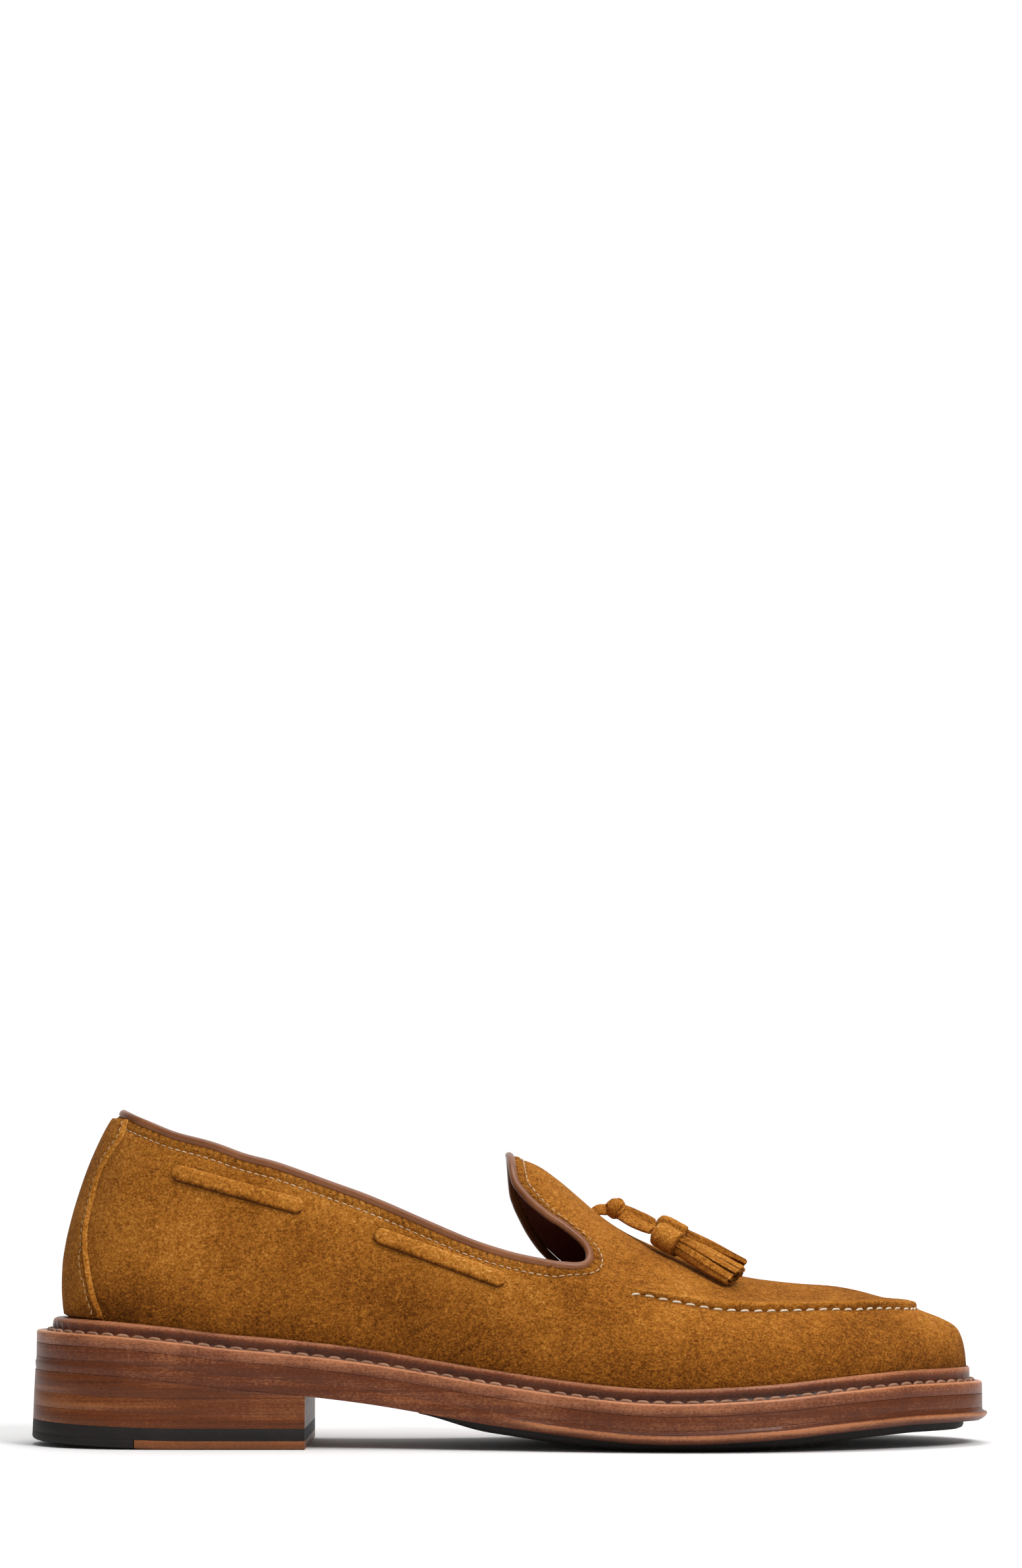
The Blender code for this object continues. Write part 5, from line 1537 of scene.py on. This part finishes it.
def make_upper(finishes):
    """Suede skin with the apron's raised edge, its stitches and the collar, and the lining inside it."""
    lines, wall_rows, crown_rows = 190, 40, 66
    points, normals, above, to_edge, full = whole_upper(lines, wall_rows, crown_rows)
    seam_row = wall_rows - 1
    seam = points[:, seam_row]
    seam_length = path_length(seam)
    beat = 0.5 + 0.5 * np.cos(2 * math.pi * (seam_length - seam_length[lines - 1]) / APRON_STITCH_PITCH)
    raised = ridge_profile(above) * (APRON_RAISE * full)[:, None]
    raised += ((0.22 * (beat - 0.5)) * full)[:, None] * bell(above, 1.2, 1.6)
    raised -= (0.5 * full)[:, None] * bell(above, -0.3, 0.75)
    raised -= 0.28 * bell(to_edge, COLLAR_STITCH_DOWN, 0.6)
    raised += 0.35 * bell(to_edge, 1.1, 0.9)
    calm = ease(to_edge / 8.0) * ease((points[..., 2] - welt_top(points[..., 0])) / 9.0)
    raised += (spots(DENTS, points) + wobble(points)) * calm
    skin = points + normals * raised[..., None]
    skin[:, -1] += unit(skin[:, -1] - skin[:, -2]) * EDGE_LIFT
    grid = with_foot(skin)
    height = skin[..., 2] - welt_top(skin[..., 0])
    # Painted light on the suede: painted shade just above the welt, under the apron's raised edge, along the
    # collar's stitch row and towards the back of the heel, and a painted highlight on the apron's raised
    # edge. The broad darkening towards the welt is partly painted shade and partly darker, burnished nap. The
    # brushed patches are the suede's own tone.
    tone = -0.12 * np.exp(-((np.clip(height - RIM_HEIGHT, 0, None) / 6.0) ** 1.2))
    tone -= 0.17 * bell(height, 0.0, 24.0)
    tone -= (0.16 * full)[:, None] * bell(above, -0.5, 1.1)
    tone += (0.10 * full)[:, None] * bell(above, 1.6, 1.5)
    tone -= 0.10 * bell(to_edge, COLLAR_STITCH_DOWN, 0.5)
    tone -= 0.05 * bell(skin[..., 0], 10.0, 25.0)
    tone += spots(BRUSHED, points)
    tone = np.concatenate([tone[:, :1], tone], 1)
    from_edge = np.concatenate([to_edge[:, :1], to_edge], 1)
    edge_length = np.broadcast_to(path_length(points[:, -1])[:, None], from_edge.shape)
    uv = np.stack([edge_length, from_edge], -1) / 100
    mesh = build_mesh("upper_suede", grid, grid_quads(*grid.shape[:2], True), edge_uv=uv, tone=tone)
    upper = solid_skin(add_object("upper_suede", mesh, finishes["upper_suede"], 80.0), SKIN_THICKNESS)
    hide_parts("upper")
    inner_points, inner_normals, *_ = whole_upper(90, 16, 30)
    inner_grid = with_foot(inner_points - inner_normals * LINING_INSET)
    mesh = build_mesh("upper_lining", inner_grid, grid_quads(*inner_grid.shape[:2], True))
    lining = solid_skin(add_object("upper_lining", mesh, finishes["lining"], 80.0), LINING_THICKNESS)
    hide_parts("upper")
    make_collar(points, skin, normals, finishes)
    strong = np.nonzero(full > 0.08)[0]
    facing = normals[:, seam_row]
    drop = unit(points[:, seam_row - 1] - seam)
    path = skin[:, seam_row] + facing * 0.1 * full[:, None] + drop * 0.15
    places = spaced(path[strong], facing[strong], APRON_STITCH_PITCH)
    stitch_row("apron_stitches", places, *APRON_STITCH, finishes["apron_thread"], lean_by=0.12)


def make_collar(points, skin, normals, finishes):
    """Round piping on the edge of the opening and the row of small stitches under it."""
    edge, below = points[:, -1], points[:, -2]
    along = unit(np.roll(edge, -1, 0) - np.roll(edge, 1, 0))
    outside = unit(np.cross(along, edge - below))
    up = np.cross(outside, along)
    middle = edge + up * (BINDING_DIAMETER / 2 + GAP - 0.1) - outside * BINDING_SET_IN
    turns = np.linspace(0, 2 * math.pi, 22, endpoint=False)
    radius = BINDING_DIAMETER / 2 * 0.86 * (1 + 0.03 * np.cos(2 * turns))
    section = np.stack([radius * np.sin(turns) * 0.94, radius * np.cos(turns)], -1)
    piping = swept("collar_piping", middle, outside, up, section, finishes["binding"], closed=True)
    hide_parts("collar_binding")
    lines = skin[:, ::-1]
    length = np.cumsum(np.linalg.norm(np.diff(lines, axis=1), axis=2), axis=1)
    down = COLLAR_STITCH_DOWN + 0.7
    row = np.argmax(length > down, axis=1)
    count = np.arange(len(lines))
    before = np.where(row > 0, length[count, row - 1], 0.0)
    share = (down - before) / (length[count, row] - before)
    surface = lines[count, row] + (lines[count, row + 1] - lines[count, row]) * share[:, None]
    for _ in range(3):
        surface = (np.roll(surface, 1, 0) + 2 * surface + np.roll(surface, -1, 0)) / 4
    closed = np.concatenate([surface, surface[:1]])
    facing = np.concatenate([normals[:, -6], normals[:1, -6]])
    places = spaced(closed + facing * 0.06, facing, COLLAR_STITCH_PITCH)
    stitch_row("collar_stitches", places, *COLLAR_STITCH, finishes["collar_thread"])


def patch_solid(name, top, bottom, finish, tone):
    """Closed pad between two grids that share their outline. tone belongs to its top."""
    rows, columns = top.shape[:2]
    inner = bottom[1:-1, 1:-1]
    spare = inner.shape[0] * inner.shape[1]
    points = np.concatenate([top.reshape(-1, 3), inner.reshape(-1, 3)])
    under = np.arange(rows * columns).reshape(rows, columns)
    under[1:-1, 1:-1] = rows * columns + np.arange(spare).reshape(inner.shape[:2])
    quads = grid_quads(rows, columns)
    low = under.ravel()[quads][:, ::-1]
    tones = np.concatenate([tone.ravel(), np.zeros(spare)])
    mesh = build_mesh(name, points, np.concatenate([quads, low]), tone=tones)
    return add_object(name, mesh, finish, 80.0)


def place_on_last(angle):
    """Place along the last of an angle used by its tables."""
    return FOOT_BACK + (FOOT_FRONT - FOOT_BACK) / 2 * (1 - np.cos(angle))


def make_back_stay(finishes):
    """Strip round the back of the heel. Across it the last is read between its two front edges."""
    edge = curve_through(STAY_EDGE) / 100
    s_edge = edge[:, 0] * SOLE_LENGTH
    z_edge = welt_top(s_edge) + edge[:, 1] * UPPER_HEIGHT
    rows, columns = 90, 61
    back_top = float(above_welt(FOOT_BACK + HEEL_LEAN, 100.0)) - 0.5
    bottom_z = welt_top(10.0) + RIM_HEIGHT + GAP
    tall = back_top - bottom_z
    up_share = np.linspace(0, 1, rows)
    back_z = bottom_z + tall * up_share
    edge_z = np.linspace(float(welt_top(24.0)) + RIM_HEIGHT + GAP, STAY_TOP, rows)
    edge_s = np.interp(edge_z, z_edge, s_edge)
    across = np.linspace(-1, 1, columns)
    grids = []
    for side in (-1, 1):
        xi_edge, _ = on_last(edge_s, edge_z, side)
        picked = np.abs(across[across <= 0] if side < 0 else across[across > 0])[:, None]
        xi = place_on_last(picked * along_last(xi_edge)[None])
        z = back_z[None] + (edge_z - back_z)[None] * picked**1.6
        grids.append(last_point(xi, theta_at(xi, z, side), side))
    base = np.concatenate(grids)
    normals = -grid_normals(base, False)
    widths = np.linalg.norm(np.diff(base, axis=0), axis=-1)
    near_side = (1 - np.abs(across))[:, None] * widths.sum(0)[None] / 2
    near_low = (up_share * tall)[None]
    near_top = ((1 - up_share) * tall)[None]
    near = np.minimum(np.minimum(near_side, near_low), near_top)
    rise = np.sqrt(np.clip(1 - (1 - np.clip(near / 0.8, 0, 1)) ** 2, 0, 1))
    raised = 0.15 + (GAP + STAY_THICKNESS - 0.15) * rise
    raised -= 0.3 * bell(near_side, STAY_STITCH_IN, 0.5)
    raised += 0.3 * bell(near_side, 0.8, 0.5)
    top = base + normals * raised[..., None]
    # Tone of the stay: lighter along its front edges; painted shade along the sunken stitch rows, a little
    # over the whole stay, and towards its foot above the welt.
    tone = 0.2 * bell(near_side, 0.0, 0.6) - 0.12 * bell(near_side, STAY_STITCH_IN, 0.5) - 0.06
    tone -= 0.17 * np.exp(-((near_low / 7.0) ** 1.2))
    upside_down = np.s_[:, ::-1]
    stay = patch_solid(
        "back_stay_suede", top[upside_down], base[upside_down], finishes["suede"], tone[upside_down]
    )
    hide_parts("back_stay")
    pick = np.arange(2, rows - 2)
    # The widths are read from the top row down, against the rows the stitches lie on.
    reach = widths[upside_down]
    for label, outer in (("outer", True), ("inner", False)):
        steps = np.cumsum(reach if outer else reach[::-1], axis=0)
        number = np.argmax(steps > STAY_STITCH_IN, axis=0) + 1
        number = (number if outer else columns - 1 - number)[pick]
        facing = normals[number, pick]
        places = spaced(top[number, pick] + facing * 0.05, facing, STAY_STITCH_PITCH)
        stitch_row(f"stay_stitches_{label}", places, *STAY_STITCH, finishes["stay_thread"])


def make_side_laces(finishes):
    """Raised bars where the lace shows: a pad with round ends, laid on the last by its side view."""
    half = SIDE_LACE_WIDTH / 2
    along = np.linspace(-1, 1, 70)
    across = np.linspace(-1, 1, 21)
    across = np.sign(across) * (1 - (1 - np.abs(across)) ** 1.5)
    # Painted shadow along the lower edge of each bar and a painted highlight along its upper edge.
    shade = 0.8 * np.clip(-across, 0, 1)[None] ** 3
    light = 0.2 * np.clip(across, 0, 1)[None] ** 4
    for name, start_s, start_up, end_s, end_up in SIDE_LACES:
        ends = np.array([start_s, end_s]) / 100 * SOLE_LENGTH
        start, end = np.column_stack([ends, above_welt(ends, np.array([start_up, end_up]))])
        length = float(np.linalg.norm(end - start))
        heading = (end - start) / length
        sideways = np.array([-heading[1], heading[0]])
        place = np.sign(along) * (1 - (1 - np.abs(along)) ** 1.6) * (length / 2 + half)
        tip = np.clip((np.abs(place) - length / 2) / half, 0, 1)
        width = half * np.sqrt(np.clip(1 - tip**2, 0.0004, 1))
        middle = (start + end) / 2
        flat = middle + place[:, None, None] * heading + (width[:, None] * across)[..., None] * sideways
        round_end = np.clip(1 - tip[:, None] ** 5, 0, 1) ** 0.5
        rise = np.clip(1 - np.abs(across)[None] ** 4, 0, 1) ** 0.6 * round_end
        height = 0.1 + (GAP + SIDE_LACE_THICKNESS) * rise
        # The raised middle of each bar is a little lighter as a painted highlight, over a slightly darker
        # base.
        tone = 0.1 * rise - 0.05 - shade + light
        for side, label in ((-1, "outer"), (1, "inner")):
            base = last_point(*on_last(flat[..., 0], flat[..., 1], side), side)
            normals = grid_normals(base, False) * -side
            top, low = base + normals * height[..., None], base + normals * 0.1
            top, low, shown = (grid[:, ::-side] for grid in (top, low, tone))
            title = f"side_lace_{label}_{name}"
            bar = patch_solid(title + "_suede", top, low, finishes["lace"], shown)
            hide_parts(title)


# Tassels


def frames(path, hint):
    """Sideways and up vectors along a path. hint is where its flat face looks."""
    along = unit(np.gradient(path, axis=0))
    across = unit(np.cross(np.asarray(hint, float), along))
    return across, np.cross(along, across)


def thong(name, path, across, up, finishes):
    """Flat suede lace along a path of frames."""
    section = round_section(THONG_WIDTH / 2, 16, THONG_THICKNESS / THONG_WIDTH, 3.0)
    return swept(name, path, across, up, section, finishes["lace"])


def make_strands(finishes):
    """Flat suede laces from the knot to the caps, slightly rounded and twisted."""
    for name, middle in STRANDS:
        path = curve_through(over_vamp(middle))
        across, up = frames(path, LACE_FACING)
        twist = np.linspace(0.15, -0.3, len(path))[:, None]
        across, up = across * np.cos(twist) + up * np.sin(twist), up * np.cos(twist) - across * np.sin(twist)
        strand = thong(f"tassel_lace_{name}", path, across, up, finishes)
        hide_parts(f"tassel_strand_{name}")


def make_knot(finishes):
    """Overhand knot: a flat lace swept along a trefoil, with its tail going back into the vamp."""
    turns = np.linspace(0, 2 * math.pi, 150)
    reach = 1.9 + 0.95 * np.cos(3 * turns)
    path = np.stack([reach * np.cos(2 * turns) * 0.8, reach * np.sin(2 * turns), 2.0 * np.sin(3 * turns)], -1)
    hole, centre = over_vamp((LACE_HOLE, KNOT_PLACE))
    path = path + centre
    across, up = frames(path, path - centre)
    section = round_section(KNOT_LACE_WIDTH / 2, 12, KNOT_LACE_FLATNESS, 3.0)
    loop = path[:-1], across[:-1], up[:-1]
    knot = swept("tassel_knot_lace", *loop, section, finishes["lace"], closed=True)
    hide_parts("tassel_knot")
    halfway = (hole + centre) / 2
    tail = curve_through([hole - (1.6, 0, 5.0), hole + (0.6, 0, -2.9), halfway - (0, 0, 1.5), centre])
    across, up = frames(tail, LACE_FACING)
    across = across * np.linspace(0.8, 1.0, len(tail))[:, None]
    piece = thong("tassel_knot_tail", tail, across, up, finishes)
    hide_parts("tassel_knot")


def make_tassel(name, start, end, turned, finishes, seed):
    """Tassel: a rolled cap and a brush of thin suede strips, splayed, flattened and uneven at their ends."""
    start, end = over_vamp((start, end))
    axis = (end - start) / np.linalg.norm(end - start)
    across = unit(np.cross((0, turned, 1), axis))
    up = np.cross(axis, across)
    shaky = np.random.RandomState(seed)

    def place(local):
        flat = 1 - (1 - FRINGE_FLATNESS) * ease((local[..., 0] - CAP_LENGTH) / FRINGE_LENGTH)
        upward = (local[..., 2] * flat)[..., None] * up
        return start + local[..., :1] * axis + local[..., 1:2] * across + upward

    x = column(CAP_PROFILE, 0) * CAP_LENGTH
    r = column(CAP_PROFILE, 1)[:, None] * CAP_RADIUS
    turns = np.linspace(0, 2 * math.pi, CAP_SIDES, endpoint=False)
    roll = 0.45 * ((turns / (2 * math.pi) + 0.35 + 0.5 * turned) % 1.0)
    radius = (r - 0.25) * (1 + 0.015 * np.sin(5 * turns + x[:, None])) + roll * np.clip(r / 3, 0, 1)
    forward = np.broadcast_to(x[:, None], radius.shape)
    cap = np.stack([forward, radius * np.cos(turns), radius * np.sin(turns)], -1)
    last = (len(x) - 1) * CAP_SIDES
    ends = [range(CAP_SIDES), range(last, last + CAP_SIDES)[::-1]]
    # Painted light on the cap: its upper side lighter and its lower side darker, and painted shade on its end
    # where the fringe comes out.
    tone = np.where(x > CAP_LENGTH * 0.93, -0.35, 0.0)[:, None] + 0.13 * np.sin(turns)
    quads = grid_quads(len(x), CAP_SIDES, False, True)[:, ::-1]
    mesh = build_mesh(f"tassel_cap_{name}", place(cap), quads, ends, tone=tone)
    piece = add_object(f"tassel_cap_{name}", mesh, finishes["lace"], 70.0)
    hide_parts(f"tassel_{name}")
    angle = np.concatenate([(np.arange(n) + shift) * 2 * math.pi / n for n, _, shift in FRINGE_RINGS])
    depth = np.concatenate([np.full(n, share) for n, share, _ in FRINGE_RINGS])
    strips = len(angle)
    angle = angle + shaky.uniform(-0.06, 0.06, strips)
    length = CAP_LENGTH + FRINGE_LENGTH + 1.0 - shaky.uniform(0.0, 1.5, strips)
    bend = shaky.uniform(-0.9, 0.9, strips)
    t = np.linspace(0, 1, STRIP_RINGS)
    along = CAP_LENGTH * 0.7 + (length[:, None] - CAP_LENGTH * 0.7) * t
    spread = CAP_RADIUS * depth[:, None] * (0.66 + (FRINGE_SPLAY - 0.72) * ease(t * 1.05))
    swing = angle[:, None] + bend[:, None] * t**2 * 0.16
    middle = np.stack([along, spread * np.cos(swing), spread * np.sin(swing)], -1)
    outwards = np.stack([0 * swing, np.cos(swing), np.sin(swing)], -1)
    sideways = np.stack([0 * swing, -np.sin(swing), np.cos(swing)], -1)
    twist = shaky.uniform(-0.5, 0.5, strips)[:, None, None] * t[None, :, None]
    outwards, sideways = outwards + sideways * twist, sideways - outwards * twist
    section = round_section(STRIP_WIDTH / 2, STRIP_SIDES, STRIP_FLATNESS, 4.0)
    widths = 0.62 + 0.38 * ease(t * 1.8)
    local = (
        middle[:, :, None]
        + sideways[:, :, None] * section[None, None, :, :1] * widths[None, :, None, None]
        + outwards[:, :, None] * section[None, None, :, 1:]
    )
    # Painted light on the fringe: one long edge of each strip lighter as a painted highlight and the other
    # darker as painted shade; the strips of the inner rings darker as painted shade, the upper strips lighter
    # as painted light, and painted shade where the strips leave the cap. Each strip also has a random tone
    # and slightly lighter tips.
    strip_edge_light_and_shade = np.array([0.12, 0.0, 0.0, 0.0, -0.25, 0.0, 0.0, 0.0])
    tone = (
        (shaky.uniform(-0.12, 0.12, strips) - 0.3 * (depth < 0.9) + 0.1 * np.sin(angle))[:, None, None]
        - 0.3 * np.exp(-((t * 5) ** 2))[None, :, None]
        + 0.12 * (t > 0.97)[None, :, None]
        + strip_edge_light_and_shade
    )
    shape = tubes(strips, STRIP_RINGS, STRIP_SIDES)
    mesh = build_mesh(f"tassel_fringe_{name}", place(local), *shape, tone=tone)
    piece = add_object(f"tassel_fringe_{name}", mesh, finishes["lace"], 60.0)
    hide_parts(f"tassel_{name}")


# Set


def make_floor():
    """Plain pale floor that runs far back and glows softly away from the shoe, as a lit sweep does."""
    made = Finish("pale_floor", (0.9, 0.9, 0.9), 0.7)
    space = made.object_space
    dust = made.noise(space, 3, 2.0, 0.5)
    made.link(made.colours(dust, ((0.3, (0.89, 0.89, 0.89)), (0.7, (0.91, 0.91, 0.91)))), "Base Color")
    made.socket("Specular IOR Level", 0.1)
    near = made.nodes.new("ShaderNodeTexGradient")
    near.gradient_type = "SPHERICAL"
    made.links.new(made.scaled(space, (0.7, 0.7, 0.7)), near.inputs["Vector"])
    glow = made.colours(near.outputs["Fac"], ((0.1, (1.0, 1.0, 1.0)), (0.75, (0.0, 0.0, 0.0))))
    made.link(glow, "Emission Color")
    made.socket("Emission Strength", FLOOR_GLOW)
    mesh = bpy.data.meshes.new("floor")
    size = 30.0
    corners = [(-size, -size, 0), (size, -size, 0), (size, size, 0), (-size, size, 0)]
    mesh.from_pydata(corners, [], [(0, 1, 2, 3)])
    mesh.materials.append(made.material)
    floor = bpy.data.objects.new("floor", mesh)
    bpy.context.scene.collection.objects.link(floor)


def area_light(name, place, aim, size, power):
    light = bpy.data.lights.new(name, "AREA")
    light.shape = "RECTANGLE"
    light.size, light.size_y = size
    light.energy = power
    holder = bpy.data.objects.new(name, light)
    holder.location = place
    holder.rotation_euler = (Vector(aim) - Vector(place)).to_track_quat("-Z", "Y").to_euler()
    bpy.context.scene.collection.objects.link(holder)


def make_world(scene):
    """Studio round the shoe: a white sweep behind it and a dim room on the other sides."""
    world = bpy.data.worlds.new("studio")
    world.use_nodes = True
    nodes, links = world.node_tree.nodes, world.node_tree.links
    parts = nodes.new("ShaderNodeSeparateXYZ")
    links.new(nodes.new("ShaderNodeTexCoord").outputs["Generated"], parts.inputs["Vector"])
    ramp = nodes.new("ShaderNodeValToRGB")
    for element, (place, grey) in zip(ramp.color_ramp.elements, ((0.6, ROOM_LIGHT), (0.85, 1.0))):
        element.position = place
        element.color = (grey, grey, grey, 1.0)
    links.new(parts.outputs["Y"], ramp.inputs["Fac"])
    links.new(ramp.outputs["Color"], nodes["Background"].inputs["Color"])
    nodes["Background"].inputs["Strength"].default_value = 1.02
    scene.world = world


def make_set():
    """Floor, studio lights and the camera at the photo's place."""
    scene = bpy.context.scene
    scene.view_settings.view_transform = "Standard"
    make_world(scene)
    make_floor()
    area_light("key", (0.55, -0.8, 0.95), (0.02, 0.0, 0.04), (0.4, 0.4), KEY_POWER)
    area_light("top", (0.05, 0.0, 1.1), (0.0, 0.0, 0.0), (1.3, 0.8), TOP_POWER)
    camera = bpy.data.cameras.new("photo_camera")
    camera.sensor_fit = "VERTICAL"
    camera.sensor_height = 36.0
    camera.lens = CAMERA_LENS
    camera.clip_end = 100.0
    holder = bpy.data.objects.new("photo_camera", camera)
    holder.location = CAMERA_PLACE
    holder.rotation_euler = (math.pi / 2 + CAMERA_TILT, 0.0, 0.0)
    scene.collection.objects.link(holder)
    scene.camera = holder


def make_finishes():
    """Every finish with its slot, under the name that the pieces ask for."""
    made = {
        "suede": (suede_finish("golden_suede"), "snuff_suede"),
        "upper_suede": (suede_finish("golden_suede_collar", 1.0, True), "snuff_suede"),
        "lace": (suede_finish("lace_suede", 0.8), "snuff_suede"),
    }
    for key, slot, *values in EDGES:
        made[key] = edge_finish(*values), slot
    made["rubber"] = rubber_finish("matt_rubber", (0.013, 0.011, 0.010)), "black_rubber"
    for key, slot, *values in LEATHERS:
        made[key] = smooth_leather(*values), slot
    for key, slot, *values in THREADS:
        made[key] = thread_finish(key, *values), slot
    return made


def main():
    """Makes every piece of the shoe, then the set."""
    finishes = make_finishes()
    make_sole(finishes)
    make_welt(finishes)
    make_upper(finishes)
    make_back_stay(finishes)
    make_side_laces(finishes)
    make_strands(finishes)
    make_knot(finishes)
    for seed, (name, start, end, turned) in enumerate(TASSELS):
        make_tassel(name, start, end, turned, finishes, seed + 3)
    make_set()


main()
